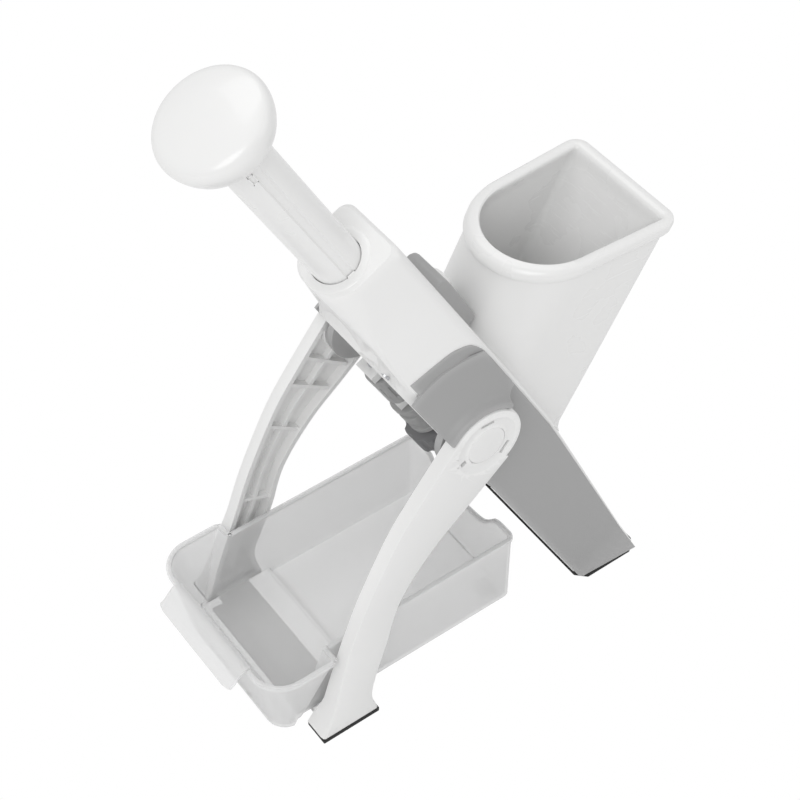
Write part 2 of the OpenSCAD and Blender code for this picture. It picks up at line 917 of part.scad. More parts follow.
// Curved legs: an outer skin with long pockets on the inner side.  The outline points are shares
// of the run from the pivot to the foot's front corner and of the pivot's height.
leg_steps = 4;
leg_run = hub_x - foot_front;
leg_front_shares = [[0.933, 0.0926], [0.851, 0.245], [0.777, 0.381], [0.682, 0.545], [0.523, 0.757],
    [0.388, 0.888]];
leg_back_shares = [[0.687, 0.0926], [0.649, 0.18], [0.573, 0.313], [0.477, 0.471], [0.322, 0.621],
    [0.142, 0.73], [-0.043, 0.821], [-0.173, 0.88], [-0.207, 0.935]];
function leg_line(shares) = [for (s = shares) [hub_x - s[0] * leg_run, s[1] * pivot_h]];
disc_front = 135;
function on_disc(a) = [hub_x + hub_r * cos(a), pivot_h + hub_r * sin(a)];
leg_front = smooth(concat([[foot_front, pad_t]], leg_line(leg_front_shares), [on_disc(disc_front)]),
    leg_steps);
leg_back = smooth(concat([[foot_back, pad_t]], leg_line(leg_back_shares), [on_disc(0)]), leg_steps);
function share_pt(p, s) = let (
        k = s * (len(p) - 1),
        i = min(floor(k), len(p) - 2))
    p[i] + (k - i) * (p[i + 1] - p[i]);
function leg_pt(s, t) = share_pt(leg_front, s) * (1 - t) + share_pt(leg_back, s) * t;
flare_share = 0.354;
leg_flare = flare_share * pivot_h;
flare_low = 8;
flare_high = 18;
flare_in = 3;
module leg_plate() {
    intersection() {
        across(big)
            polygon(concat(leg_front, backwards(leg_back)));
        through(-big / 2, big / 2)
            polygon([[leg_y, big], [leg_y, leg_flare], [foot_y, pad_t], [foot_in + bar_lap, pad_t],
                [foot_in + bar_lap, pad_t + flare_low], [foot_y - leg_t - flare_in, pad_t + flare_high],
                [leg_y - leg_t, leg_flare], [leg_y - leg_t, big]]);
    }
}
cap_r = 12.5;
cap_deep = 2;
slot_r = 16.1;
slot_t = 2.2;
slot_len = 8;
slot_deep = 4;
// Angle round the pivot and length as a share, for the two long slots and the square hole
slots = [[88.5, 1], [322.3, 1], [199, 0.55]];
module leg(side) {
    color([0.93, 0.93, 0.92])
    on_table()
        mirror([0, side > 0 ? 0 : 1, 0])
            difference() {
                union() {
                    leg_plate();
                    rod_y(hub_r, hub_x, pivot_h, boss_y + gap, leg_y);
                }
                pockets();
                rod_y(pin_r + fit_gap, hub_x, pivot_h, 0, big);
                rod_y(cap_r, hub_x, pivot_h, leg_y - cap_deep, big);
                for (q = slots)
                    translate([hub_x, leg_y - slot_deep, pivot_h])
                        rotate([0, -q[0], 0])
                            translate([slot_r - slot_t / 2, 0, -q[1] * slot_len / 2])
                                cube([slot_t, slot_deep + over, q[1] * slot_len]);
                bar_screw_bores();
            }
}
pocket_end_shares = [[0.19, 0.42], [0.45, 0.68], [0.71, 0.85]];
pocket_side_shares = [[0.17, 0.47], [0.53, 0.83]];
pocket_steps = 6;
pocket_deep = 6.8;
module pockets() {
    for (p = pocket_end_shares)
        for (q = pocket_side_shares)
            translate([0, leg_y - leg_t + pocket_deep, 0])
                rotate([90, 0, 0])
                    linear_extrude(height = 3 * pocket_deep)
                        polygon(concat(
                            [for (i = [0:pocket_steps]) leg_pt(p[0] + (p[1] - p[0]) * i / pocket_steps, q[0])],
                            [for (i = [pocket_steps:-1:0])
                                leg_pt(p[0] + (p[1] - p[0]) * i / pocket_steps, q[1])]));
}

// Bar that ties the feet under the container
bar_lap = 2;
bar_plate = 2.5;
bar_tongue = 10;
bar_tongue_in = 8;
ear_run = 4.8;
ear_x0 = foot_front + ear_run;
ear_len = 22;
ear_x1 = ear_x0 + ear_len;
ear_top = 14;
spot_in = 5;
bar_spots = [ear_x0 + spot_in, ear_x1 - spot_in];
bar_screw_z = bar_h + head_r - gap / 3;
bar_screw_len = 9;
module bar_screw_bores() {
    for (x = bar_spots)
        rod_y(screw_r + fit_gap, x, bar_screw_z, -foot_in - bar_screw_len, foot_in + bar_screw_len);
}
module crossbar() {
    color([0.92, 0.92, 0.91])
    on_table()
        difference() {
            union() {
                span_box([bar_x0 + bar_tongue - over, bar_x1], [-foot_in - bar_lap, foot_in + bar_lap],
                    [bar_h - bar_plate, bar_h]);
                span_box([bar_x0, bar_x0 + bar_tongue], [bar_tongue_in - foot_in, foot_in - bar_tongue_in],
                    [bar_h - 2 * bar_plate, bar_h - bar_plate + eps]);
                for (x = [bar_x0 + bar_tongue - 2 * over, bar_x1 - bar_plate])
                    span_box([x, x + bar_plate], [-foot_in - bar_lap, foot_in + bar_lap], [pad_t, bar_h]);
                for (side = [-1, 1])
                    span_box([ear_x0, ear_x1],
                        side > 0 ? [foot_in, foot_in + bar_lap] : [-foot_in - bar_lap, -foot_in],
                        [bar_h - over, ear_top]);
            }
            bar_screw_bores();
        }
}
module crossbar_screws() {
    color([0.6, 0.61, 0.63])
    on_table()
        for (side = [0, 1])
            mirror([0, side, 0])
                for (x = bar_spots) {
                    rod_y(screw_r, x, bar_screw_z, foot_in, foot_in + bar_screw_len);
                    rod_y(head_r - gap, x, bar_screw_z, foot_in - head_t, foot_in);
                }
}
module pivot_pin(side) {
    color([0.74, 0.75, 0.77])
    on_table()
        mirror([0, side > 0 ? 0 : 1, 0])
            rod_y(pin_r, hub_x, pivot_h, pin_in, leg_y - cap_deep - gap);
}
cap_sunk = 0.4;
module hub_cap(side) {
    color([0.94, 0.94, 0.93])
    on_table()
        mirror([0, side > 0 ? 0 : 1, 0])
            rod_y(cap_r, hub_x, pivot_h, leg_y - cap_deep, leg_y - cap_sunk);
}
pad_lip = 0.2;
module foot_pad(side) {
    color([0.1, 0.1, 0.1])
    on_table()
        mirror([0, side > 0 ? 0 : 1, 0])
            through(foot_front, foot_back)
                polygon([[foot_in, 0], [foot_y + pad_lip, 0], [foot_y + pad_lip, pad_t], [foot_in, pad_t]]);
}
// Rubber under the body, a long plate with cut corners
pad_x0 = 79.9;
pad_x1 = 127.4;
pad_out = 3.6;
pad_half = foot_half + pad_out;
pad_cut = 6.5;
module body_foot_pad() {
    color([0.1, 0.1, 0.1])
    on_table()
        linear_extrude(height = pad_t)
            polygon([[pad_x0, pad_cut - pad_half], [pad_x0 + pad_cut, -pad_half],
                [pad_x1 - pad_cut, -pad_half], [pad_x1, pad_cut - pad_half],
                [pad_x1, pad_half - pad_cut], [pad_x1 - pad_cut, pad_half],
                [pad_x0 + pad_cut, pad_half], [pad_x0, pad_half - pad_cut]]);
}

// Catch container: narrow between the legs, wide in front of them, raised over the crossbar
front_r = 19;
low_r = 13;
low_in = 10;
low_jog = tunnel_x0 + over;
back_cut = 3;
tub_lap = 5;
foot_len = 12;
foot_w = 14;
foot_off = 6;
function wide_outline(x0, x1, half, r) = concat(
    [for (a = [180:10:270]) [x0 + r + r * cos(a), -half + r + r * sin(a)]],
    [[x1, -half], [x1, half]],
    [for (a = [90:10:180]) [x0 + r + r * cos(a), half - r + r * sin(a)]]);
module wide_form(grow, base) {
    hull() {
        translate([0, 0, tub_h])
            linear_extrude(height = eps)
                polygon(wide_outline(tub_front - grow, jog_x + grow, tub_wide + grow, front_r));
        translate([0, 0, base])
            linear_extrude(height = eps)
                polygon(wide_outline(tub_front + low_in - grow, low_jog + grow,
                    tub_half + grow, low_r));
    }
}
module narrow_form(grow, base, x0) {
    translate([0, 0, base])
        linear_extrude(height = tub_h + eps - base)
            polygon([[x0, -tub_half - grow], [tub_back - back_cut + grow, -tub_half - grow],
                [tub_back + grow, back_cut - tub_half], [tub_back + grow, tub_half - back_cut],
                [tub_back - back_cut + grow, tub_half + grow], [x0, tub_half + grow]]);
}
notch_deep = 15;
notch_shares = [[0.765, -0.067], [0.65, 0.067], [0.593, 0.6], [0.459, 0.867], [0.153, 1]];
notch = smooth(concat([for (s = notch_shares) [s[0] * tub_half, -s[1] * notch_deep]],
    backwards([for (s = notch_shares) [-s[0] * tub_half, -s[1] * notch_deep]])), 3);
lip_drop = 9;
lip_shares = [[0, 0], [0.194, -0.133], [0.387, 0.111], [0.645, 0.556], [0.839, 0.778], [1, 1]];
lip = smooth([for (s = lip_shares) [-s[0] * lip_out, -s[1] * lip_drop]], 3);
lip_t = 2;
lip_sunk = 1.6;
lip_in = 25;
lip_half = tub_wide - lip_in;
module catch_container() {
    color([0.82, 0.83, 0.83, 0.7])
    on_table()
        union() {
            difference() {
                union() {
                    wide_form(0, 0);
                    narrow_form(0, rear_base, low_jog - tub_lap);
                    for (side = [-1, 1])
                        translate([tub_back - back_cut - foot_len,
                            side * (tub_half - foot_off - foot_w / 2) - foot_w / 2, 0])
                            cube([foot_len, foot_w, rear_base + eps]);
                }
                wide_form(-tub_wall, tub_wall);
                narrow_form(-tub_wall, rear_base + tub_wall, tunnel_x1 + tub_wall);
                narrow_form(-tub_wall, tunnel_h + tub_wall, low_jog - tub_lap);
                span_box([tunnel_x0, tunnel_x1], [-big, big], [-over, tunnel_h]);
                translate([tub_back, 0, tub_h])
                    rotate([90, 0, 90])
                        linear_extrude(height = 3 * tub_wall, center = true)
                            polygon(notch);
            }
            difference() {
                span_box([tunnel_x0 - tub_wall, tunnel_x1 + tub_wall], [eps - tub_half, tub_half - eps],
                    [eps, tunnel_h + tub_wall]);
                span_box([tunnel_x0, tunnel_x1], [-big, big], [-over, tunnel_h]);
            }
            translate([tub_front + over, 0, tub_h - lip_sunk])
                across(2 * lip_half)
                    polygon(concat(lip, [for (q = backwards(lip)) [q[0], q[1] - lip_t]]));
        }
}

main_housing();
front_frame();
side_cover(-1);  // near_side_cover
side_cover(1);  // far_side_cover
rod_collar();
feed_chute();
chute_latch();
latch_button();
plunger_rod();
plunger_knob();
blade_sled();
slicing_blade();
blade_screws();
guide_rod(-1);  // near_guide_rod
guide_rod(1);  // far_guide_rod
return_spring(-1);  // near_return_spring
return_spring(1);  // far_return_spring
thickness_plate();
thickness_shaft();
thickness_knob();
thickness_cam();
julienne_drum();
julienne_knives();
leg(-1);  // near_leg
leg(1);  // far_leg
crossbar();
pivot_pin(-1);  // near_pivot_pin
pivot_pin(1);  // far_pivot_pin
hub_cap(-1);  // near_hub_cap
hub_cap(1);  // far_hub_cap
foot_pad(-1);  // near_foot_pad
foot_pad(1);  // far_foot_pad
body_foot_pad();
catch_container();
frame_screws();
crossbar_screws();
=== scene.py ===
"""Push-plunger french fry cutter: modelled shells, finishes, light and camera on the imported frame."""
import json
import math

import bmesh
import bpy
from mathutils import Matrix, Vector


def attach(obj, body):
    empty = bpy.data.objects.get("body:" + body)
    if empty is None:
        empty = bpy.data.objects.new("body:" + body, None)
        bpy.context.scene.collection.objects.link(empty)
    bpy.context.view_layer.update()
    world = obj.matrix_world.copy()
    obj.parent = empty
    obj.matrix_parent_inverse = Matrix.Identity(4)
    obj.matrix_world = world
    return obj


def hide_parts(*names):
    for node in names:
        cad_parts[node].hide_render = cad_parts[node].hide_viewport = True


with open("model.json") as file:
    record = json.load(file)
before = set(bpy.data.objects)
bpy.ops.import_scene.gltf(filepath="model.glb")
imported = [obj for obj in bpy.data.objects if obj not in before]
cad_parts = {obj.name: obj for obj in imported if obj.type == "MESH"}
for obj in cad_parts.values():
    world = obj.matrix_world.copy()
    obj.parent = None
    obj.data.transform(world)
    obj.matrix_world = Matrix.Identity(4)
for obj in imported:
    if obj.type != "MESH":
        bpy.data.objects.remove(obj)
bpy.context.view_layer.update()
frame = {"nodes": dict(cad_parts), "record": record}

# The frame in millimetres
MM = 0.001
MERGE = 0.00001
CAD_MERGE = 0.00002
COPLANAR = math.radians(0.6)
SOFT_ANGLE = 40
SHELL_ANGLE = 38
FRAME_ANGLE = 28
CAD_ANGLE = 30
PIVOT_X = 5.85
PIVOT_Z = 183.6
SLOPE = math.radians(61.8)
SIN_S = math.sin(SLOPE)
COS_S = math.cos(SLOPE)


def table(x, y, z):
    """A point given from the leg pivot's plumb line, in mm, as a point of the row frame."""
    return Vector(((x + PIVOT_X) * MM, y * MM, z * MM))


def lean(w, y, u):
    """A point of the leaning body: w through its depth, y across, u along the plunger, in mm."""
    return table(w * SIN_S - u * COS_S, y, w * COS_S + u * SIN_S)


def u_at_level(w, z):
    """Where a line along the body at depth w reaches a level z above the table."""
    return (z - w * COS_S) / SIN_S


def lerp(a, b, t):
    """The value a share t of the way from a to b."""
    return a + (b - a) * t


def smoothstep(t):
    """A share held between 0 and 1 that starts and ends softly."""
    t = max(0.0, min(1.0, t))
    return t * t * (3 - 2 * t)


def line_value(stops, x):
    """Value at x on a chain of straight pieces given as (x, value)."""
    if x <= stops[0][0]:
        return stops[0][1]
    for (x0, v0), (x1, v1) in zip(stops, stops[1:]):
        if x <= x1:
            return lerp(v0, v1, (x - x0) / (x1 - x0))
    return stops[-1][1]


def curve_points(points, steps):
    """Smooth curve through points, as a list with steps pieces for each gap."""
    out = []
    n = len(points) - 1
    for i in range(n):
        a, b = points[max(i - 1, 0)], points[i]
        c, d = points[i + 1], points[min(i + 2, n)]
        for k in range(steps):
            t = k / steps
            out.append(tuple(0.5 * (2 * q + (r - p) * t + (2 * p - 5 * q + 4 * r - s) * t * t
                                    + (3 * q - p - 3 * r + s) * t ** 3)
                             for p, q, r, s in zip(a, b, c, d)))
    out.append(tuple(points[-1]))
    return out


# Mesh helpers
def link(obj):
    """The object, put into the scene."""
    bpy.context.scene.collection.objects.link(obj)
    return obj


def mesh_object(name, verts, faces, material=None, smooth_angle=35, recalc=True):
    """A new object from points in metres, doubles merged and faces turned outwards."""
    mesh = bpy.data.meshes.new(name)
    mesh.from_pydata([tuple(v) for v in verts], [], faces)
    bm = bmesh.new()
    bm.from_mesh(mesh)
    bmesh.ops.remove_doubles(bm, verts=bm.verts, dist=MERGE)
    if recalc:
        bmesh.ops.recalc_face_normals(bm, faces=bm.faces)
    bm.to_mesh(mesh)
    bm.free()
    obj = link(bpy.data.objects.new(name, mesh))
    if material:
        mesh.materials.append(material)
    shade(obj, smooth_angle)
    return obj


def shade(obj, angle):
    """Smooth shading, with sharp edges where faces meet at more than the angle."""
    mesh = obj.data
    mesh.shade_smooth()
    mesh.set_sharp_from_angle(angle=math.radians(angle))


def ring_faces(rows, count, closed_ring=True, closed_ends=False):
    """Quads between rows of points, each with count points."""
    faces = []
    last = count if closed_ring else count - 1
    for r in range(rows - 1):
        for i in range(last):
            j = (i + 1) % count
            faces.append((r * count + i, r * count + j, (r + 1) * count + j, (r + 1) * count + i))
    if closed_ends:
        faces.append(tuple(range(count - 1, -1, -1)))
        faces.append(tuple((rows - 1) * count + i for i in range(count)))
    return faces


def loft(name, rows, material, closed_ring=True, closed_ends=False, smooth_angle=35):
    """A skin through rows of points with the same count."""
    count = len(rows[0])
    verts = [p for row in rows for p in row]
    return mesh_object(name, verts, ring_faces(len(rows), count, closed_ring, closed_ends), material,
                       smooth_angle)


def lathe(name, profile, place, material, steps=96, smooth_angle=32):
    """A turned piece: profile is (radius, height), place maps (x, y, height) in mm to the frame."""
    turns = [2 * math.pi * i / steps for i in range(steps)]
    rows = [[place(r * math.cos(a), r * math.sin(a), h) for a in turns] for r, h in profile]
    obj = loft(name, rows, material, smooth_angle=smooth_angle)
    bm = bmesh.new()
    bm.from_mesh(obj.data)
    bmesh.ops.holes_fill(bm, edges=[e for e in bm.edges if e.is_boundary], sides=0)
    bmesh.ops.recalc_face_normals(bm, faces=bm.faces)
    bm.to_mesh(obj.data)
    bm.free()
    shade(obj, smooth_angle)
    return obj


def modifier(obj, kind, **values):
    """A new modifier of a kind, with its settings."""
    mod = obj.modifiers.new(kind.title(), kind)
    for key, value in values.items():
        setattr(mod, key, value)
    return mod


def applied(obj):
    """The object with its modifiers applied to its mesh."""
    depsgraph = bpy.context.evaluated_depsgraph_get()
    mesh = bpy.data.meshes.new_from_object(obj.evaluated_get(depsgraph))
    old = obj.data
    obj.modifiers.clear()
    obj.data = mesh
    bpy.data.meshes.remove(old)
    return obj


def rounded(obj, width, segments=3, angle=34):
    """Edges rounded by a bevel of width mm, and the result made plain mesh."""
    modifier(obj, "BEVEL", width=width * MM, segments=segments, limit_method="ANGLE",
             angle_limit=math.radians(angle), use_clamp_overlap=True, harden_normals=False,
             miter_outer="MITER_ARC")
    applied(obj)
    shade(obj, SOFT_ANGLE)
    return obj


def cut(obj, cutters, operation="DIFFERENCE"):
    """obj less the cutters, or joined with them in a union; they are removed afterwards."""
    for cutter in cutters:
        modifier(obj, "BOOLEAN", object=cutter, operation=operation, solver="EXACT")
    bpy.context.view_layer.update()
    applied(obj)
    for cutter in cutters:
        bpy.data.objects.remove(cutter)
    return obj


def joined(name, objs):
    """Several objects as one, first one's materials first."""
    bm = bmesh.new()
    materials = []
    for obj in objs:
        slots = []
        for mat in obj.data.materials:
            if mat not in materials:
                materials.append(mat)
            slots.append(materials.index(mat))
        start = len(bm.faces)
        bm.from_mesh(obj.data)
        bm.faces.ensure_lookup_table()
        for face in bm.faces[start:]:
            face.material_index = slots[face.material_index] if slots else 0
    mesh = bpy.data.meshes.new(name)
    bm.to_mesh(mesh)
    bm.free()
    for mat in materials:
        mesh.materials.append(mat)
    for obj in objs:
        bpy.data.objects.remove(obj)
    return link(bpy.data.objects.new(name, mesh))


def box_mesh(name, place, x, y, z, material=None):
    """A box between two values on each axis of a place function."""
    verts = [place(a, b, c) for c in z for b in y for a in x]
    faces = [(0, 2, 3, 1), (4, 5, 7, 6), (0, 1, 5, 4), (2, 6, 7, 3), (0, 4, 6, 2), (1, 3, 7, 5)]
    return mesh_object(name, verts, faces, material)


def softened(node, width, material, name=None, segments=3, angle=30):
    """A copy of a CAD node with its faces merged and its edges rounded."""
    source = frame["nodes"][node]
    obj = link(bpy.data.objects.new(name or node + "_soft", source.data.copy()))
    bm = bmesh.new()
    bm.from_mesh(obj.data)
    bmesh.ops.remove_doubles(bm, verts=bm.verts, dist=CAD_MERGE)
    bmesh.ops.dissolve_limit(bm, angle_limit=COPLANAR, verts=bm.verts, edges=bm.edges)
    bm.to_mesh(obj.data)
    bm.free()
    obj.data.materials.clear()
    obj.data.materials.append(material)
    rounded(obj, width, segments, angle)
    return obj


def finish_piece(obj, body, slot, *nodes):
    """The piece stands for its CAD nodes and rides on its body."""
    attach(obj, body)
    if nodes:
        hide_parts(*nodes)
    return obj


# Materials
def add(tree, kind, values=(), feeds=(), operation=None):
    """A new shader node: values are its fixed inputs, feeds are the outputs that lead into it."""
    node = tree.nodes.new("ShaderNode" + kind)
    if operation:
        node.operation = operation
    for socket, value in values:
        node.inputs[socket].default_value = value
    for socket, source in feeds:
        tree.links.new(source, node.inputs[socket])
    return node


def new_group(name, inputs, outputs):
    """An empty node group with named sockets, its input sockets and its output node."""
    group = bpy.data.node_groups.new(name, "ShaderNodeTree")
    for label, kind, default in inputs:
        socket = group.interface.new_socket(label, in_out="INPUT", socket_type="NodeSocket" + kind)
        socket.default_value = default
    for label, kind in outputs:
        group.interface.new_socket(label, in_out="OUTPUT", socket_type="NodeSocket" + kind)
    return group, group.nodes.new("NodeGroupInput").outputs, group.nodes.new("NodeGroupOutput")


def moulding_group():
    """Moulded plastic: soft colour drift, fine grain, faint scuffs and worn edges."""
    group, given, out = new_group(
        "moulded_surface",
        [("Color", "Color", (0.8, 0.8, 0.8, 1)), ("Drift", "Float", 0.03), ("Grain Scale", "Float", 900.0),
         ("Grain", "Float", 0.1), ("Roughness", "Float", 0.3), ("Scuffs", "Float", 0.2),
         ("Edge Light", "Float", 0.1)],
        [("Color", "Color"), ("Roughness", "Float"), ("Height", "Float")])
    place = add(group, "TexCoord").outputs["Object"]
    cloud = add(group, "TexNoise", [("Scale", 14), ("Detail", 4)], [("Vector", place)]).outputs["Fac"]
    grain = add(group, "TexNoise", [("Detail", 2)],
                [("Vector", place), ("Scale", given["Grain Scale"])]).outputs["Fac"]
    stretch = add(group, "Mapping", [("Scale", (60, 60, 900)), ("Rotation", (0.3, 0.5, 0.2))],
                  [("Vector", place)])
    scuff = add(group, "TexNoise", [("Scale", 1.0), ("Detail", 3)], [("Vector", stretch.outputs["Vector"])])
    scuffed = add(group, "MapRange", [("From Min", 0.62), ("From Max", 0.8)],
                  [("Value", scuff.outputs["Fac"])])
    span = add(group, "Math", [(1, 0.5)], [(0, cloud)], "SUBTRACT")
    drift = add(group, "Math", [(2, 1.0)], [(0, span.outputs[0]), (1, given["Drift"])], "MULTIPLY_ADD")
    edge = add(group, "MapRange", [("From Min", 0.51), ("From Max", 0.6)],
               [("Value", add(group, "NewGeometry").outputs["Pointiness"])])
    worn = add(group, "Math", (), [(0, edge.outputs["Result"]), (1, given["Edge Light"]),
                                   (2, drift.outputs[0])], "MULTIPLY_ADD")
    tint = add(group, "VectorMath", (), [(0, given["Color"])], "SCALE")
    group.links.new(worn.outputs[0], tint.inputs["Scale"])
    rough = add(group, "Math", (), [(0, scuffed.outputs["Result"]), (1, given["Scuffs"]),
                                    (2, given["Roughness"])], "MULTIPLY_ADD")
    cloudy = add(group, "Math", [(1, 0.08)], [(0, cloud), (2, rough.outputs[0])], "MULTIPLY_ADD")
    height = add(group, "Math", (), [(0, grain), (1, given["Grain"])], "MULTIPLY")
    for label, source in (("Color", tint), ("Roughness", cloudy), ("Height", height)):
        group.links.new(source.outputs[0], out.inputs[label])
    return group


MOULDED = moulding_group()


def new_material(name):
    """A new material, with its node tree and its Principled BSDF."""
    mat = bpy.data.materials.new(name)
    mat.use_nodes = True
    return mat, mat.node_tree, mat.node_tree.nodes["Principled BSDF"]


def plastic(name, color, roughness=0.28, grain=0.15, grain_scale=1100, drift=0.03, scuffs=0.12,
            edge_light=0.06, coat=0.0, bump=0.00003):
    """Moulded plastic with its own colour, gloss and grain."""
    mat, tree, bsdf = new_material(name)
    skin = tree.nodes.new("ShaderNodeGroup")
    skin.node_tree = MOULDED
    for label, value in (("Color", (*color, 1)), ("Drift", drift), ("Grain Scale", grain_scale),
                         ("Grain", grain), ("Roughness", roughness), ("Scuffs", scuffs),
                         ("Edge Light", edge_light)):
        skin.inputs[label].default_value = value
    relief = add(tree, "Bump", [("Strength", 1.0), ("Distance", bump)], [("Height", skin.outputs["Height"])])
    for label, source in (("Base Color", skin.outputs["Color"]), ("Roughness", skin.outputs["Roughness"]),
                          ("Normal", relief.outputs["Normal"])):
        tree.links.new(source, bsdf.inputs[label])
    for label, value in (("IOR", 1.5), ("Coat Weight", coat), ("Coat Roughness", 0.08)):
        bsdf.inputs[label].default_value = value
    return mat


def steel(name, color, roughness, stretch, bump=0.00002):
    """Ground or drawn steel: fine lines along one direction."""
    smoother, rougher, darker = 0.08, 0.12, 0.88
    mat, tree, bsdf = new_material(name)
    bsdf.inputs["Metallic"].default_value = 1.0
    place = add(tree, "Mapping", [("Scale", stretch)],
                [("Vector", add(tree, "TexCoord").outputs["Object"])]).outputs["Vector"]
    lines = add(tree, "TexNoise", [("Scale", 1.0), ("Detail", 4)], [("Vector", place)]).outputs["Fac"]
    gloss = add(tree, "MapRange", [("To Min", roughness - smoother), ("To Max", roughness + rougher)],
                [("Value", lines)])
    tint = tree.nodes.new("ShaderNodeMix")
    tint.data_type = "RGBA"
    tint.inputs["A"].default_value = (*[c * darker for c in color], 1)
    tint.inputs["B"].default_value = (*color, 1)
    tree.links.new(lines, tint.inputs["Factor"])
    relief = add(tree, "Bump", [("Distance", bump)], [("Height", lines)])
    for label, source in (("Roughness", gloss.outputs["Result"]), ("Base Color", tint.outputs["Result"]),
                          ("Normal", relief.outputs["Normal"])):
        tree.links.new(source, bsdf.inputs[label])
    return mat


def frosted(name, color, alpha, roughness=0.35):
    """Frosted polypropylene: a milky skin that lets a soft image through."""
    mat = plastic(name, color, roughness=roughness, grain=0.3, grain_scale=700, drift=0.04, scuffs=0.15,
                  edge_light=0.1, bump=0.00004)
    bsdf = mat.node_tree.nodes["Principled BSDF"]
    bsdf.inputs["Alpha"].default_value = alpha
    return mat


WHITE_SHELL = plastic("white_shell", (0.87, 0.87, 0.865), roughness=0.26, coat=0.25)
WHITE_FRAME = plastic("white_frame", (0.82, 0.82, 0.815), roughness=0.34)
WHITE_CHUTE = plastic("white_chute", (0.85, 0.85, 0.845), roughness=0.24, coat=0.2)
WHITE_PLUNGER = plastic("white_plunger", (0.88, 0.88, 0.875), roughness=0.24, coat=0.3)
WHITE_LEG = plastic("white_leg", (0.85, 0.85, 0.845), roughness=0.3)
GREY_COVER = plastic("grey_cover", (0.375, 0.375, 0.375), roughness=0.42, grain=0.5, grain_scale=1500,
                     edge_light=0.18, bump=0.00005)
GREY_LATCH = plastic("grey_latch", (0.37, 0.37, 0.37), roughness=0.4, grain=0.5, grain_scale=1500,
                     edge_light=0.18, bump=0.00005)
GREY_MECHANISM = plastic("grey_mechanism", (0.38, 0.38, 0.38), roughness=0.4, grain=0.3)
DARK_KNOB = plastic("dark_knob", (0.19, 0.19, 0.195), roughness=0.42, grain=0.5, grain_scale=1500)
BLACK_RUBBER = plastic("black_rubber", (0.012, 0.012, 0.012), roughness=0.7, grain=1.0, grain_scale=1800,
                       drift=0.2, scuffs=0.1, edge_light=0.6, bump=0.0001)
BLADE_STEEL = steel("blade_steel", (0.75, 0.76, 0.78), 0.24, (300, 3000, 300))
ROD_STEEL = steel("rod_steel", (0.7, 0.71, 0.73), 0.22, (1500, 1500, 120))
SPRING_STEEL = steel("spring_steel", (0.55, 0.56, 0.58), 0.3, (900, 900, 900))
SCREW_STEEL = steel("screw_steel", (0.62, 0.63, 0.65), 0.3, (900, 900, 900))
FROSTED = frosted("frosted_tray", (0.86, 0.86, 0.86), 0.5)
BY_SLOT = {
    "white_shell": WHITE_SHELL, "white_frame": WHITE_FRAME, "white_chute": WHITE_CHUTE,
    "white_plunger": WHITE_PLUNGER, "white_leg": WHITE_LEG, "grey_cover": GREY_COVER,
    "grey_latch": GREY_LATCH, "grey_mechanism": GREY_MECHANISM, "dark_knob": DARK_KNOB,
    "black_rubber": BLACK_RUBBER, "blade_steel": BLADE_STEEL, "rod_steel": ROD_STEEL,
    "spring_steel": SPRING_STEEL, "screw_steel": SCREW_STEEL, "frosted_tray": FROSTED}
for part in frame["record"]["subparts"]:
    node = frame["nodes"][part["node"]]
    node.data.materials.clear()
    node.data.materials.append(BY_SLOT[part["material_slot"]])
    shade(node, CAD_ANGLE)

# Body sizes, mm
FOOT_U = -40.5
BODY_FRONT = 72.0
BODY_BACK = 124.4
BODY_TOP = 293.3
TAPER_U = 110.0
BACK_TAPER = 0.076
SHOULDER_U = 221.0
SHOULDER_HALF = 43.0
TOP_HALF = 23.0
FOOT_HALF = 66.4
FLARE = (FOOT_HALF - SHOULDER_HALF) / (SHOULDER_U - FOOT_U)
ROD_W = 97.6
ROD_R = 14.1
PAD_T = 3.5
ARCH_U = 218.0
ARCH_R = 31.0
RECESS_W = 74.6
PLATE_U = 178
FIELD_U = 226
ARCH_END_U = 250
ROUND_END_U = 286
SKIN_OVER = 1.2
SKIN_WALL = 2.2
TOP_ROUND = 4
DECK_HALF = 31
DECK_U = (80, 166)


def body_half(u):
    """Half width of the body along the plunger."""
    if u <= SHOULDER_U:
        return SHOULDER_HALF + (SHOULDER_U - u) * FLARE
    t = (u - SHOULDER_U) / (BODY_TOP - SHOULDER_U)
    shares = [(0, 0), (0.25, 0.2), (0.5, 0.42), (0.75, 0.68), (0.93, 0.87), (1, 1)]
    return SHOULDER_HALF - line_value(shares, t) * (SHOULDER_HALF - TOP_HALF)


def body_back(u):
    """Depth of the body's back face."""
    return BODY_BACK - max(0.0, TAPER_U - u) * BACK_TAPER


def crease(u):
    """Depth of the line where the side face meets the front."""
    return line_value([(120, 74.5), (171, 75.6), (FIELD_U, 78.5), (ARCH_END_U, 80.6), (262, 84.1),
                       (274, 89.0), (280, 91.5), (ROUND_END_U, 94.5), (BODY_TOP, 98.0)], u)


def top_roll(u, reach):
    """How far a surface turns in, as a share, on the last reach mm below the top."""
    over = max(0.0, u - BODY_TOP + reach) / reach
    return 1 - math.sqrt(max(0.0, 1 - over * over))


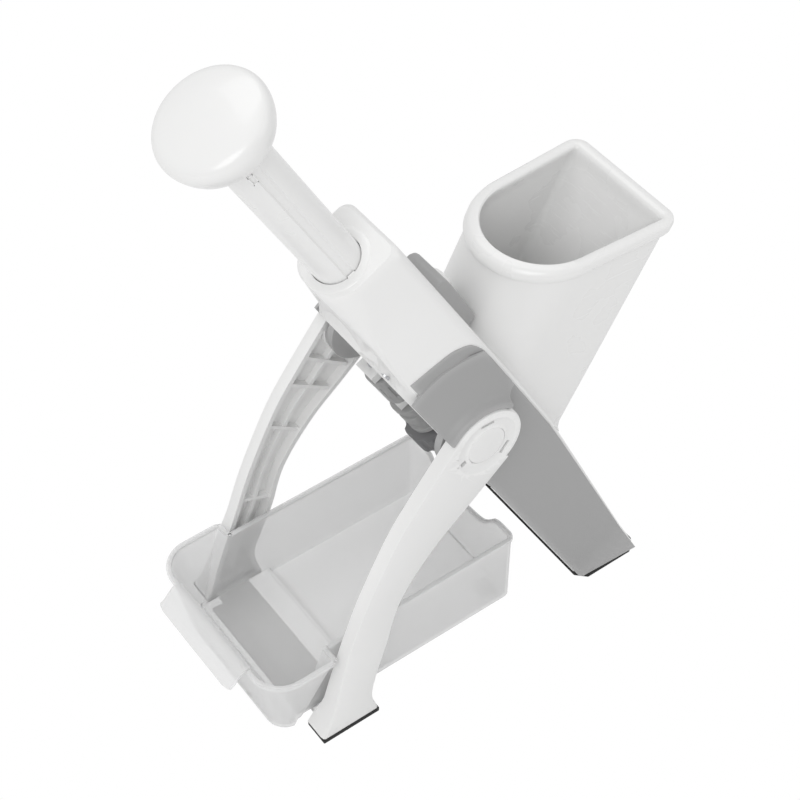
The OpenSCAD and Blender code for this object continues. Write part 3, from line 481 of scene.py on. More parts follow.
def nose(y, u):
    """Depth of the front: a flat plate that ends in an arch, and a set-back round end beyond it."""
    wc = crease(u)
    half = body_half(u)
    corner, fade, step, set_back = 5.0, 10, 4, 2.2
    flat = BODY_FRONT + max(0.0, 1 - (half - abs(y)) / corner) * (wc - BODY_FRONT)
    field = line_value([(FIELD_U, 76.5), (ARCH_END_U, 77.8), (262, 78.1), (BODY_TOP, 78.0)], u)
    field += set_back * top_roll(u, TOP_ROUND)
    r = max(1.0, wc - field)
    d = min(r, max(0.0, abs(y) - half + r))
    beyond = field + r - math.sqrt(max(0.0, r * r - d * d))
    past = (math.hypot(y, max(0.0, u - ARCH_U)) - ARCH_R) * smoothstep((u - ARCH_U) / fade)
    w = lerp(flat, max(flat, beyond), smoothstep(past / step)) if u < ARCH_END_U + 6 else beyond
    return min(w, wc)


# White housing
def housing():
    """White shell: flared box below, round about the rod at its top end."""
    low = [FOOT_U] + list(range(-30, PLATE_U + 2, 15)) + [PLATE_U]
    stations = low + [186, 200, 212, 221, 232, 243, 254, 264, 272, 278, 282, 285, 287.5, 289.5, 291,
                      BODY_TOP - 0.3]
    corner_n, front_n = 9, 41
    low_round, high_round, round_from, round_over = 2.0, 7.0, 150, 90
    back_inset, side_share = 3.4, 0.25
    rows = []
    for u in stations:
        inset = back_inset * top_roll(u, TOP_ROUND)
        half = body_half(u) - inset * side_share
        back = body_back(u) - inset
        r = lerp(low_round, high_round, smoothstep((u - round_from) / round_over))
        wc = crease(u)
        corner = [math.pi / 2 * k / (corner_n - 1) for k in range(corner_n)]
        row = [(back - r + r * math.sin(a), -(half - r + r * math.cos(a))) for a in corner]
        row += [(w, -y) for w, y in reversed(row)]
        under = SKIN_OVER * (1 - smoothstep((u - ARCH_END_U + 1) / 6))
        for k in range(1, front_n):
            y = half * math.cos(math.pi * k / front_n)
            row.append((nose(y, u) + (under if abs(y) < half - 0.5 else 0.0), y))
        row.insert(0, (wc, -half))
        row.insert(1 + 2 * corner_n, (wc, half))
        rows.append([(w, y, u) for w, y in row] if u > FOOT_U else
                    [(w, y, u_at_level(w, PAD_T)) for w, y in row])
    count = len(rows[0])
    verts = [lean(*p) for row in rows for p in row]
    open_front = range(1 + 2 * corner_n, count)
    faces = [(r * count + i, r * count + (i + 1) % count, (r + 1) * count + (i + 1) % count,
              (r + 1) * count + i)
             for r in range(len(rows) - 1) for i in range(count)
             if not (i in open_front and r < stations.index(PLATE_U))]
    # the top face runs in from the last row to the collar's round seat
    outer_seat, inner_seat = 20.4, 16.8
    for seat_r, start in ((outer_seat, (len(rows) - 1) * count), (inner_seat, len(rows) * count)):
        seat = len(verts)
        for w, y, _ in rows[-1]:
            a = math.atan2(y, w - ROD_W)
            r = min(seat_r, math.hypot(y, w - ROD_W) - 0.3)
            verts.append(lean(ROD_W + r * math.cos(a), r * math.sin(a), BODY_TOP))
        faces += [(start + i, start + (i + 1) % count, seat + (i + 1) % count, seat + i)
                  for i in range(count)]
    obj = mesh_object("body_shell", verts, faces, WHITE_SHELL, SHELL_ANGLE)
    modifier(obj, "SOLIDIFY", thickness=SKIN_WALL * MM, offset=-1)
    applied(obj)
    cut(obj, [box_mesh("deck_cut", lean, (BODY_BACK - 8, BODY_BACK + 5), (-DECK_HALF, DECK_HALF),
                       DECK_U)])
    shade(obj, SHELL_ANGLE)
    return finish_piece(obj, "body", "white_shell", "main_housing")


housing()


# Front frame
SNAP_U = 98.5
SNAP_HALF = 2.5


def snap_hole(side):
    """Cutter for the square hole in a rail that takes the cover's snap."""
    middle = side * (body_half(SNAP_U) - 2.4)
    return box_mesh("snap", lean, (BODY_FRONT - 1, BODY_FRONT + 12),
                    (middle - SNAP_HALF, middle + SNAP_HALF), (SNAP_U - SNAP_HALF, SNAP_U + SNAP_HALF))


def front_frame():
    """Two bevelled rails beside the open front, joined by a plate with a sunk field and an arched end."""
    parts = []
    rail_depth = 80.0
    for side in (-1, 1):
        rows = []
        for u in [FOOT_U] + list(range(-30, PLATE_U + 2, 15)) + [PLATE_U]:
            half = body_half(u)
            wc = crease(u)
            inner = line_value([(FOOT_U, 61.5), (PLATE_U, 41)], u)
            ring = [(wc, half - 0.1), (74.0, half - 2.0), (BODY_FRONT + 0.5, half - 3.4),
                    (BODY_FRONT, half - 4.4), (BODY_FRONT, inner + 0.8), (BODY_FRONT + 0.8, inner),
                    (rail_depth, inner), (rail_depth, half - 2.6), (wc + 1.5, half - 2.4)]
            rows.append([lean(w, side * y, u if u > FOOT_U else u_at_level(w, PAD_T)) for w, y in ring])
        parts.append(loft("rail", rows, WHITE_FRAME, closed_ends=True, smooth_angle=30))
    rows = []
    across_n = 36
    sunk_low, sunk_high, margin, fade_from, fade = 182.4, 246.5, 8.5, 236, 10
    for u in [PLATE_U, 182, 182.8, 190, 205, 218, 222, 226, 230, 234, 238, 241, 244, 246, 248, 250, 252,
              254, 262, 272, 280, 286.5]:
        half = body_half(u)
        ring = []
        for k in range(across_n + 1):
            t = k / across_n
            y = (half - 0.1) * (2 * smoothstep(t) * 0.35 + 2 * t * 0.65 - 1)
            w = nose(y, u)
            if sunk_low < u < sunk_high and abs(y) < half - margin:
                w += (RECESS_W - BODY_FRONT) * (1 - smoothstep((u - fade_from) / fade))
            ring.append((w + 0.9 * smoothstep((u - ARCH_END_U) / 4), y))
        back = crease(u) + 4.0
        rows.append([lean(w, y, u) for w, y in ring + [(back, half - 3), (back, 3 - half)]])
    parts.append(loft("plate", rows, WHITE_FRAME, closed_ends=True, smooth_angle=FRAME_ANGLE))
    obj = joined("front_surround", parts)
    shade(obj, FRAME_ANGLE)
    cut(obj, [snap_hole(side) for side in (-1, 1)])
    return finish_piece(obj, "body", "white_frame", "front_frame")


front_frame()

# Grey side covers
COVER_T = 3.2
COVER_BACK = BODY_BACK - 2.6
HUB_R = 24.4
LEG_Y = body_half(161.8) + COVER_T + 14.5
LEG_T = 9.0
PIVOT_W = 86.76
PIVOT_U = 161.8
COVER_FRONT = 79.4
COVER_EDGE = curve_points([(COVER_FRONT, 224.0), (89, 222.9), (97.6, 221.8), (106.1, 220.4), (112.1, 217.7),
                           (117.3, 213.7), (119.9, 208.6), (121.3, 202.4), (121.8, 194.3)], 5)


def cover_top_at(w):
    """Level where the cover's top edge ends at a depth."""
    return line_value(COVER_EDGE, w)


def cover_offset(w, u):
    """How far the cover stands off the housing's side: a flat step, a slope and the panel."""
    d = min(math.hypot(w - a, u - b) for a, b in COVER_EDGE)
    plain_from = 205
    if u < plain_from:
        d = max(d, line_value([(192, 30), (plain_from, 0)], u))
    step = line_value([(0, 0.3), (0.5, 0.8), (6.0, 0.9), (6.6, 1.1), (11.0, 3.1), (12.0, COVER_T)], d)
    if u >= plain_from:
        return step
    return min(step, line_value([(0, 2.0), (0.7, 2.9), (1.6, COVER_T)], max(0.0, COVER_BACK - w)))


def cover_back(u):
    """Depth of the cover's back edge, drawn in with the body's taper."""
    return COVER_BACK - max(0.0, TAPER_U - u) * BACK_TAPER * 0.9


def side_cover(side):
    """Grey cover on one side, with the guard and the boss of the pivot."""
    columns, rows_u = 44, 90
    crowd_across, crowd_up, front_share = 0.9, 0.62, 0.04
    rows = []
    for i in range(columns + 1):
        t = math.sin(math.pi / 2 * i / columns) ** crowd_across if i else 0.0
        top = cover_top_at(lerp(COVER_FRONT, COVER_BACK - 0.02, t))
        column = []
        for j in range(rows_u + 1):
            u = lerp(FOOT_U, top, (j / rows_u) ** crowd_up)
            front = line_value([(150, 72.6), (167, 72.8), (169, 73.2), (176, 79.0), (PLATE_U, 79.3),
                                (226, COVER_FRONT)], u)
            w = lerp(front, min(cover_back(u), COVER_BACK), t)
            if j == 0:
                u = u_at_level(w, PAD_T)
            off = cover_offset(w, u)
            if t < front_share:
                off *= 0.55 + 0.45 * smoothstep(t / front_share)
            column.append(lean(w, side * (body_half(u) + off), u))
        rows.append(column)
    obj = loft("cover_skin", rows, GREY_COVER, closed_ring=False, smooth_angle=50)
    modifier(obj, "SOLIDIFY", thickness=SKIN_WALL * MM, offset=-1)
    applied(obj)
    obj = joined("near_cover_skin" if side < 0 else "far_cover_skin", [obj, hub_hood(side), hub_boss(side)])
    shade(obj, SOFT_ANGLE)
    return finish_piece(obj, "body", "grey_cover", "near_side_cover" if side < 0 else "far_side_cover")


def hub_hood(side):
    """Raised wall round the upper half of the leg's disc, growing out of the cover on a soft slope."""
    panel = body_half(PIVOT_U) + COVER_T
    base = panel - 2.0
    lip = LEG_Y - 0.9
    reach = 29
    profile = [(0.6, base), (0.6, lip - 0.5), (1.0, lip), (2.4, lip), (3.0, lip - 0.5), (3.5, lip - 2.0),
               (4.0, panel + 9.4), (4.8, panel + 8.2), (6.4, panel + 7.1), (10, panel + 5.4),
               (14, panel + 3.6), (18, panel + 2.0), (22, panel + 0.9), (26, panel + 0.2),
               (reach, panel - 0.4), (reach, base)]
    start, end = math.radians(31), math.radians(150)
    steps, fade_steps, low_share = 60, 9.0, 0.25
    rows = []
    for i in range(steps + 1):
        a = lerp(start, end, i / steps)
        fade = lerp(low_share, 1.0, smoothstep(i / fade_steps))
        row = []
        for grow, h in profile:
            r = HUB_R + grow
            x, z = r * math.cos(a), r * math.sin(a)
            w = min(max(PIVOT_W + x * SIN_S + z * COS_S, BODY_FRONT + 0.4), COVER_BACK - 0.3)
            u = PIVOT_U - x * COS_S + z * SIN_S
            low = min(0.0, body_half(u) + COVER_T - panel)
            height = base + (h - base) * fade + low * (grow / reach)
            row.append(lean(w, side * height, u))
        rows.append(row)
    return loft("hood", rows, GREY_COVER, closed_ends=True, smooth_angle=48)


def hub_boss(side):
    """Plain boss behind the leg's disc."""
    low, high = body_half(PIVOT_U) + 1.0, LEG_Y - LEG_T - 2.6
    bore, r = 6.2, HUB_R - 0.4
    return lathe("boss", [(bore, low), (r, low), (r, high), (bore, high), (bore, low)],
                 lambda a, b, h: table(a, side * h, PIVOT_Z + b), GREY_COVER, 72)


side_cover(-1)
side_cover(1)


# Collar, plunger rod and knob
def on_rod(x, y, h):
    """A point given from the rod's axis."""
    return lean(ROD_W + x, y, h)


GROOVE_ANGLE = math.radians(-90)
GROOVE_HALF = math.radians(10.4)
KNOB_U = 418.0
ROD_LOW = 254.0


def collar():
    """Flush ring round the rod with a soft outer edge, and the key that runs in the rod's groove."""
    bore, sleeve, low, under = 14.45, 16.6, 276, 292.6
    profile = [(bore, low), (bore, 293.3), (14.7, 293.7), (16.4, 293.9), (18.2, 293.85), (19.2, 293.65),
               (19.7, 293.35), (19.8, under), (sleeve, under), (sleeve, low), (bore, low)]
    steps = 144
    turns = [2 * math.pi * i / steps for i in range(steps)]
    ring = loft("collar_ring", [[on_rod(r * math.cos(a), r * math.sin(a), h) for a in turns]
                                for r, h in profile], WHITE_SHELL, smooth_angle=SHELL_ANGLE)
    key = box_mesh("collar_key", on_rod, (-2.3, 2.3), (-15.2, -13.45), (277, 293.7), WHITE_SHELL)
    obj = joined("collar_form", [ring, key])
    shade(obj, SHELL_ANGLE)
    return finish_piece(obj, "body", "white_shell", "rod_collar")


collar()


def rod():
    """Plunger rod with its shallow guide groove on the near side and a small raised frame."""
    steps = 180
    groove_deep = 0.95
    blend = 0.03
    rows = []
    for u, groove, chamfer in [(ROD_LOW, 0, 1.0), (ROD_LOW + 1, 0, 0), (262, 0, 0), (262.6, 1, 0),
                               (399, 1, 0), (399.8, 0.75, 0), (416, 0.7, 0), (KNOB_U + 5, 0.7, 0)]:
        row = []
        for i in range(steps):
            a = 2 * math.pi * i / steps
            off = abs((a - GROOVE_ANGLE + math.pi) % (2 * math.pi) - math.pi)
            depth = groove * groove_deep * smoothstep((GROOVE_HALF + blend - off) / (2 * blend))
            r = ROD_R - chamfer - depth
            row.append(on_rod(r * math.cos(a), r * math.sin(a), u))
        rows.append(row)
    obj = loft("rod_skin", rows, WHITE_PLUNGER, closed_ends=True, smooth_angle=24)
    left, right, low, high, line, end_line = -5.6, -2.4, 396.5, 403.5, 0.5, 0.6
    frame_bits = [box_mesh("rod_mark", on_rod, x, (-ROD_R - 0.12, -ROD_R + 2.2), u, WHITE_PLUNGER)
                  for x, u in (((left, left + line), (low, high)), ((right - line, right), (low, high)),
                               ((left, right), (low, low + end_line)),
                               ((left, right), (high - end_line, high)))]
    obj = joined("rod_body", [obj] + frame_bits)
    shade(obj, 24)
    return finish_piece(obj, "plunger", "white_plunger", "plunger_rod")


rod()

KNOB_R = 30.4
KNOB_H = 22.2


def knob():
    """Domed palm knob, turned, with a flat underside and a round rim."""
    shares = [(0.468, 0.0), (0.56, 0.0), (0.84, 0.03), (0.93, 0.19), (0.982, 0.4), (1.0, 0.57),
              (0.985, 0.7), (0.93, 0.81), (0.8, 0.89), (0.5, 0.965), (0.2, 0.995), (0.002, 1.0)]
    profile = curve_points([(s * KNOB_R, KNOB_U + h * KNOB_H) for s, h in shares], 5)
    obj = lathe("palm_knob", profile, on_rod, WHITE_PLUNGER, 128, 60)
    return finish_piece(obj, "plunger", "white_plunger", "plunger_knob")


knob()

# Feed chute
RIM_H = 256.0
CHUTE_SLOPE = math.radians(62)
RIM_BACK = 151.9
RIM_FRONT = 45.4
RIM_HALF = 45.5
RIM_SIDE = 42.9
RIM_MID = 88.0
RIM_CORNER = 10.0
CHUTE_LOW = 60.0
CHUTE_TAPER = 0.95
CHUTE_NARROWING = 0.03


def rim_outline(grow):
    """Plan outline of the chute's rim: flat back with round corners, round front."""
    back, front = RIM_BACK + grow, RIM_FRONT - grow
    half, sides, r = RIM_HALF + grow, RIM_SIDE + grow, max(2.5, RIM_CORNER + grow)
    corner = [math.pi / 2 * k / 8 for k in range(9)]
    sixths = [k / 6 for k in range(1, 6)]
    out = [(back - r + r * math.sin(a), -half + r - r * math.cos(a)) for a in corner]
    out += [(back, lerp(-half + r, half - r, k / 12)) for k in range(1, 12)]
    out += [(back - r + r * math.cos(a), half - r + r * math.sin(a)) for a in corner]
    out += [(lerp(back - r, RIM_MID, t), lerp(half, sides, t)) for t in sixths]
    for k in range(49):
        a = math.pi / 2 + math.pi * k / 48
        out.append((RIM_MID + (RIM_MID - front) * math.cos(a), sides * math.sin(a)))
    return out + [(lerp(RIM_MID, back - r, t), lerp(-sides, -half, t)) for t in sixths]


CHUTE_RUN = (RIM_H - CHUTE_LOW) / math.tan(CHUTE_SLOPE)


def chute_point(x, y, depth_w):
    """The rim point carried down the chute's wall to a depth plane of the leaning body."""
    top = Vector((x, y, RIM_H))
    low = Vector((RIM_MID - CHUTE_RUN + (x - RIM_MID) * CHUTE_TAPER, y * CHUTE_TAPER, CHUTE_LOW))
    w_top = top.x * SIN_S + top.z * COS_S
    w_low = low.x * SIN_S + low.z * COS_S
    t = (w_top - depth_w) / (w_top - w_low)
    p = top.lerp(low, t)
    return table(p.x, p.y, p.z)


def chute_ring(grow, level=None, depth_w=None):
    """The rim's outline, grown, at a level below the rim or on a depth plane of the body."""
    if depth_w is not None:
        return [chute_point(x, y, depth_w) for x, y in rim_outline(grow)]
    drop = RIM_H - level
    narrower = 1 - drop / RIM_H * CHUTE_NARROWING
    return [table(x - drop / math.tan(CHUTE_SLOPE), y * narrower, level) for x, y in rim_outline(grow)]


def chute():
    """Chute as one skin: inner wall, rolled rim and outer wall."""
    inner, outer = -3.0, -6.0
    seat = BODY_BACK + 0.05
    rim = [(outer, 12), (outer - 0.6, 6), (outer - 1.6, 2.6), (outer - 1.3, 0.9), (outer - 0.2, 0),
           (-2.2, 0), (-0.9, 0.6), (0, 2.4), (0, 5.4), (-0.9, 7.0), (inner, 7.6)]
    rows = [chute_ring(outer, depth_w=seat)]
    rows += [chute_ring(grow, level=RIM_H - drop) for grow, drop in rim]
    rows += [chute_ring(inner, depth_w=BODY_BACK + 4.5), chute_ring(inner + 1.2, depth_w=BODY_BACK + 1.5),
             chute_ring(inner + 3.2, depth_w=seat)]
    rows.append(rows[0])
    obj = loft("chute_skin", rows, WHITE_CHUTE, smooth_angle=42)
    return finish_piece(obj, "body", "white_chute", "feed_chute")


chute()

# Catch in front of the chute
LATCH_HALF = 14.0
LATCH_LOW = 182.5
LATCH_TOP = 231.0


def latch():
    """Sliding catch: a plain slab with rounded ends."""
    rise = [(0, 7.4), (0.9, 8.4), (3.5, 8.7), (21.5, 9.0), (37.5, 9.1)]
    fall = [(5, 8.9), (2.6, 8.3), (1.2, 7.2), (0.4, 6.0), (0.1, 4.6), (0, 0.2)]
    stations = [(LATCH_LOW + d, h) for d, h in rise] + [(LATCH_TOP - d, h) for d, h in fall]
    section = [(LATCH_HALF, 0), (LATCH_HALF, 0.86), (LATCH_HALF - 0.4, 0.97), (LATCH_HALF - 1.2, 1)]
    section = [(-y, share) for y, share in section] + [(0, 1)] + section[::-1]
    rows = [[lean(BODY_BACK + 0.3 + height * share, y, u) for y, share in section] for u, height in stations]
    obj = loft("catch_slide", rows, GREY_LATCH, closed_ends=True, smooth_angle=35)
    return finish_piece(obj, "latch", "grey_latch", "chute_latch")


latch()

# Legs
FOOT_Y = LEG_Y + 6.5
FOOT_IN = LEG_Y - 10.6
FLARE_Z = 65.0
LEG_FRONT = [(-119.9, 3.5), (-111.9, 17), (-102.1, 45), (-93.2, 70), (-81.8, 100), (-62.7, 139),
             (-46.5, 163), (-17.3, 200.8)]
LEG_BACK = [(-79.5, 3.5), (-82.4, 17), (-77.9, 33), (-67.6, 57.6), (-56.9, 88.8), (-35.5, 117.2),
            (-11.8, 137.9), (16.6, 162.9)]
RIB_PLACES = (3, 14, 26, 38, 46, 50)
DISC_SLOTS = ((88.5, 9.0), (-37.7, 9.0), (199, 3.6))
CAP_R = 12.5
CAP_SEAT = LEG_Y - 1.9


def leg_outer(z):
    """Distance of the leg's outer face from the middle plane."""
    return LEG_Y + (FOOT_Y - LEG_Y) * max(0.0, 1 - z / FLARE_Z)


def leg_inner(z):
    """Distance of the leg's inner edge from the middle plane."""
    return line_value([(PAD_T, FOOT_IN), (11.5, FOOT_IN), (22, 58.4), (FLARE_Z, LEG_Y - LEG_T)], z)


def leg_point(side, x, z, depth_share):
    """A point of the leg: depth_share runs from the outer face to the inner edge."""
    return table(x, side * lerp(leg_outer(z), leg_inner(z), depth_share), z)


def leg_slot(side, angle, length):
    """Cutter for one snap slot, set round the disc at an angle in degrees."""
    a0 = math.radians(angle)
    r = 16.6
    half_w = 1.15 if length > 4 else 1.9

    def place(p, q, h):
        reach = r + q
        return table(reach * math.cos(a0) - p * math.sin(a0), side * h,
                     PIVOT_Z + reach * math.sin(a0) + p * math.cos(a0))

    return box_mesh("slot", place, (-length / 2, length / 2), (-half_w, half_w), (LEG_Y - 5, LEG_Y + 2))


def leg(side):
    """Curved leg with a channel on its inner side, a middle rib, cross ribs and a round pivot end."""
    front = curve_points(LEG_FRONT, 8)
    back = curve_points(LEG_BACK, 8)

    def across(i, t):
        return (lerp(front[i][0], back[i][0], t), lerp(front[i][1], back[i][1], t))

    def turned(name, profile, material=None):
        return lathe(name, profile, lambda a, b, h: table(a, side * h, PIVOT_Z + b), material, 96)

    # section across the leg, from the outer face round both walls and back inside
    floor_share = 0.34
    rib_half, rib_depths, rib_ends = 1.1, (0.3, 0.85), (0.1, 0.9)
    rows = []
    for i in range(len(front)):
        width = math.dist(front[i], back[i])
        e, wall, rib = 1.6 / width, 3.4 / width, 1.3 / width
        section = [(0, 1), (0, 0.18), (e * 0.3, 0.05), (e, 0), (0.5, 0), (1 - e, 0), (1 - e * 0.3, 0.05),
                   (1, 0.18), (1, 1), (1 - wall, 1), (1 - wall * 1.15, floor_share),
                   (0.5 + rib * 1.2, floor_share), (0.5 + rib, 0.8), (0.5 - rib, 0.8),
                   (0.5 - rib * 1.2, floor_share), (wall * 1.15, floor_share), (wall, 1)]
        rows.append([leg_point(side, *across(i, t), share) for t, share in section])
    body = loft("leg_form", rows, WHITE_LEG, closed_ends=True, smooth_angle=SOFT_ANGLE)
    ribs = []
    for i in RIB_PLACES:
        run = Vector((front[i + 1][0] - front[i][0], 0, front[i + 1][1] - front[i][1])).normalized()
        run *= rib_half
        verts = [leg_point(side, x + sign * run.x, z + sign * run.z, share)
                 for share in rib_depths for x, z in (across(i, t) for t in rib_ends) for sign in (-1, 1)]
        faces = [(0, 1, 3, 2), (4, 6, 7, 5), (0, 2, 6, 4), (1, 5, 7, 3), (0, 4, 5, 1), (2, 3, 7, 6)]
        ribs.append(mesh_object("leg_rib", verts, faces, WHITE_LEG))
    low = LEG_Y - LEG_T
    disc = turned("leg_hub", [(0.4, low), (HUB_R - 0.6, low), (HUB_R, low + 0.8), (HUB_R, LEG_Y - 1.8),
                              (HUB_R - 0.5, LEG_Y - 0.5), (HUB_R - 1.7, LEG_Y), (0.4, LEG_Y)], WHITE_LEG)
    cut(body, [disc], "UNION")
    in_r, seat_r, top = CAP_R - 0.3, CAP_R + 0.1, LEG_Y + 1
    cut(body, [turned("groove", [(in_r, LEG_Y - 0.2), (13.6, LEG_Y - 0.75), (15.5, LEG_Y - 0.95),
                                 (18.2, LEG_Y - 0.75), (20.0, LEG_Y - 0.05), (20.2, top), (in_r, top),
                                 (in_r, LEG_Y - 0.2)]),
               turned("cap_seat", [(0.3, CAP_SEAT), (seat_r, CAP_SEAT), (seat_r, top), (0.3, top),
                                   (0.3, CAP_SEAT)])])
    cut(body, [leg_slot(side, angle, length) for angle, length in DISC_SLOTS])
    obj = joined("near_leg_form" if side < 0 else "far_leg_form", [body] + ribs)
    shade(obj, SOFT_ANGLE)
    return finish_piece(obj, "legs", "white_leg", "near_leg" if side < 0 else "far_leg")


leg(-1)
leg(1)


def hub_cap(side):
    """Cap in the middle of the leg's disc."""
    obj = lathe("near_cap" if side < 0 else "far_cap",
                [(0.3, CAP_SEAT), (CAP_R, CAP_SEAT), (CAP_R, LEG_Y - 0.75), (12.1, LEG_Y - 0.3),
                 (11.2, LEG_Y - 0.12), (0.3, LEG_Y - 0.05)],
                lambda a, b, h: table(a, side * h, PIVOT_Z + b), WHITE_LEG, 96)
    return finish_piece(obj, "legs", "white_leg", "near_hub_cap" if side < 0 else "far_hub_cap")


hub_cap(-1)
hub_cap(1)

# Catch container
TUB_H = 60.0
TUB_HALF = LEG_Y - LEG_T - 4.7
TUB_WIDE = TUB_HALF + 10.7
TUB_BACK = 37.2
TUB_FRONT = -148.1
TUB_DRAFT = 10
TUB_WALL = 1.7
JOG_X = -103.8
LOW_JOG = -126.0
TUNNEL = (-127.0, -78.6)
TUNNEL_TOP = 7.3
REAR_BASE = 2.0
TUB_MERGE = 0.6 * MM
FOOT_ROUND = 1.6
FOOT_IN_BY = 1.2
FOOT_WIDE = 12
LIP_OUT = 15.5
LIP_HALF = 38
NOTCH = [(0, 44.2), (8, 44.6), (20, 46.2), (26, 50), (31, 56), (34, 58.6), (40, TUB_H), (60, TUB_H)]


def tub_plan(level):
    """Outline of the container's outer wall at a level, from the back's middle round the near side."""
    s = level / TUB_H
    wide = lerp(TUB_HALF, TUB_WIDE, s)
    front = lerp(TUB_FRONT + TUB_DRAFT, TUB_FRONT, s)
    jog = lerp(LOW_JOG, JOG_X, s)
    r_front = lerp(13, 20, s)
    r_back = 5.0
    out = [(TUB_BACK, -lerp(0, TUB_HALF - r_back, k / 16)) for k in range(1, 17)]
    for k in range(1, 7):
        a = math.pi / 2 * k / 6
        out.append((TUB_BACK - r_back + r_back * math.cos(a), -(TUB_HALF - r_back + r_back * math.sin(a))))
    out += [(x, -TUB_HALF) for x in (20, 0, -20, -40, -60, TUNNEL[1] + 2.2, TUNNEL[1] + 0.6, -84, -92,
                                     jog + 3)]
    out.append((jog + 1.2, -TUB_HALF - 0.15 * s))
    out += [(jog + 0.6 - 0.4 * k / 4, -lerp(TUB_HALF + 0.5 * s, wide - 1.4 * s, k / 4)) for k in range(1, 5)]
    out += [(jog - 0.6, -(wide - 0.5 * s)), (jog - 1.8, -wide)]
    out += [(lerp(jog - 2, front + r_front, k / 3), -wide) for k in range(1, 4)]
    for k in range(1, 11):
        a = math.pi / 2 * k / 10
        out.append((front + r_front - r_front * math.sin(a), -(wide - r_front + r_front * math.cos(a))))
    return out + [(front, -lerp(wide - r_front, 0, k / 14)) for k in range(1, 15)]


def rim_level(x, y):
    """Height of the rim: a wavy drop in the back wall and level elsewhere."""
    if x < TUB_BACK - 6:
        return TUB_H
    return min(TUB_H, line_value(curve_points(NOTCH, 6), abs(y)))


def tub_low(x):
    """Lowest level of the wall: over the tunnel, on the rear base and at the front."""
    if TUNNEL[0] - 0.5 < x < TUNNEL[1] + 1.2:
        return TUNNEL_TOP
    return REAR_BASE if x >= TUNNEL[1] else 0.0


def tub_floor(foot):
    """Floor through the wall's foot points, with the two steps of the tunnel."""
    stations = []
    for x, y, z in sorted(((x, abs(y), z) for x, y, z in foot), key=lambda p: p[0]):
        if not stations or x - stations[-1][0] > 0.4:
            stations.append([x, y, z])
        else:
            stations[-1][1] = max(stations[-1][1], y)
    rows = [[table(x, lerp(-y, y, k / 20), z) for k in range(21)] for x, y, z in stations]
    return loft("tray_floor", rows, FROSTED, closed_ring=False, smooth_angle=30)


def container():
    """Frosted catch container: one skin for walls and floor, a rolled rim, the lip and two feet."""
    levels = [0.0, 0.12, 0.3, 0.5, 0.7, 0.88, 1.0]
    front_x, back_x, side_y = -130, 30, 44
    base_plan, rim_plan = tub_plan(TUNNEL_TOP), tub_plan(TUB_H)
    columns = []
    for i, (x_top, y_top) in enumerate(rim_plan):
        low = tub_low(base_plan[i][0])
        column = []
        for share in levels:
            z = lerp(low, rim_level(x_top, y_top), share)
            column.append((*tub_plan(z)[i], z))
        # the foot of the wall turns into the floor on a small radius
        x, y, z = column[0]
        column[0] = (x, y, z + FOOT_ROUND)
        in_x = FOOT_IN_BY if x < front_x else (-FOOT_IN_BY if x > back_x else 0)
        in_y = 0 if abs(y) < side_y else (-FOOT_IN_BY if y > 0 else FOOT_IN_BY)
        column.insert(0, (x + in_x, y + in_y, z))
        columns.append(column)
    foot = [column[0] for column in columns]
    columns += [[(x, -y, z) for x, y, z in column] for column in reversed(columns)]
    rows = [[table(*column[r]) for column in columns] for r in range(len(levels) + 1)]
    obj = joined("tray_shell", [loft("tray_wall", rows, FROSTED, smooth_angle=SOFT_ANGLE), tub_floor(foot)])
    bm = bmesh.new()
    bm.from_mesh(obj.data)
    bmesh.ops.remove_doubles(bm, verts=bm.verts, dist=TUB_MERGE)
    bmesh.ops.recalc_face_normals(bm, faces=bm.faces)
    bm.to_mesh(obj.data)
    bm.free()
    modifier(obj, "SOLIDIFY", thickness=TUB_WALL * MM, offset=-1, use_even_offset=True)
    applied(obj)
    shade(obj, SOFT_ANGLE)
    feet = [box_mesh("tray_foot", table, (TUB_BACK - 15, TUB_BACK - 4), (y0, y0 + FOOT_WIDE),
                     (0, REAR_BASE + 0.4), FROSTED) for y0 in (-44, 32)]
    obj = joined("tray_form", [obj, container_rim(), container_lip()] + feet)
    shade(obj, SOFT_ANGLE)
    return finish_piece(obj, "tray", "frosted_tray", "catch_container")


def container_rim():
    """Rolled edge that follows the rim all the way round."""
    path = [(x, y, rim_level(x, y)) for x, y in tub_plan(TUB_H)]
    path += [(x, -y, z) for x, y, z in reversed(path)]
    clean, nearest = [path[0]], 0.3
    for p in path[1:]:
        if math.dist(p, clean[-1]) > nearest:
            clean.append(p)
    section = [(-2.2, -1.7), (-2.2, -0.1), (-1.7, 0.3), (-0.2, 0.35), (0.75, 0.2), (0.95, -0.4), (0.9, -2.2),
               (0.1, -2.4), (-0.1, -1.7)]
    middle = Vector((-50, 0, 0))
    rows = []
    for i, point in enumerate(clean):
        a, b = clean[i - 1], clean[(i + 1) % len(clean)]
        along = Vector((b[0] - a[0], b[1] - a[1], 0)).normalized()
        out = Vector((-along.y, along.x, 0))
        if out.dot(Vector((point[0], point[1], 0)) - middle) < 0:
            out = -out
        rows.append([table(*(Vector(point) + out * s + Vector((0, 0, h)))) for s, h in section])
    rows.append(rows[0])
    return loft("tray_rim", rows, FROSTED, smooth_angle=SOFT_ANGLE)


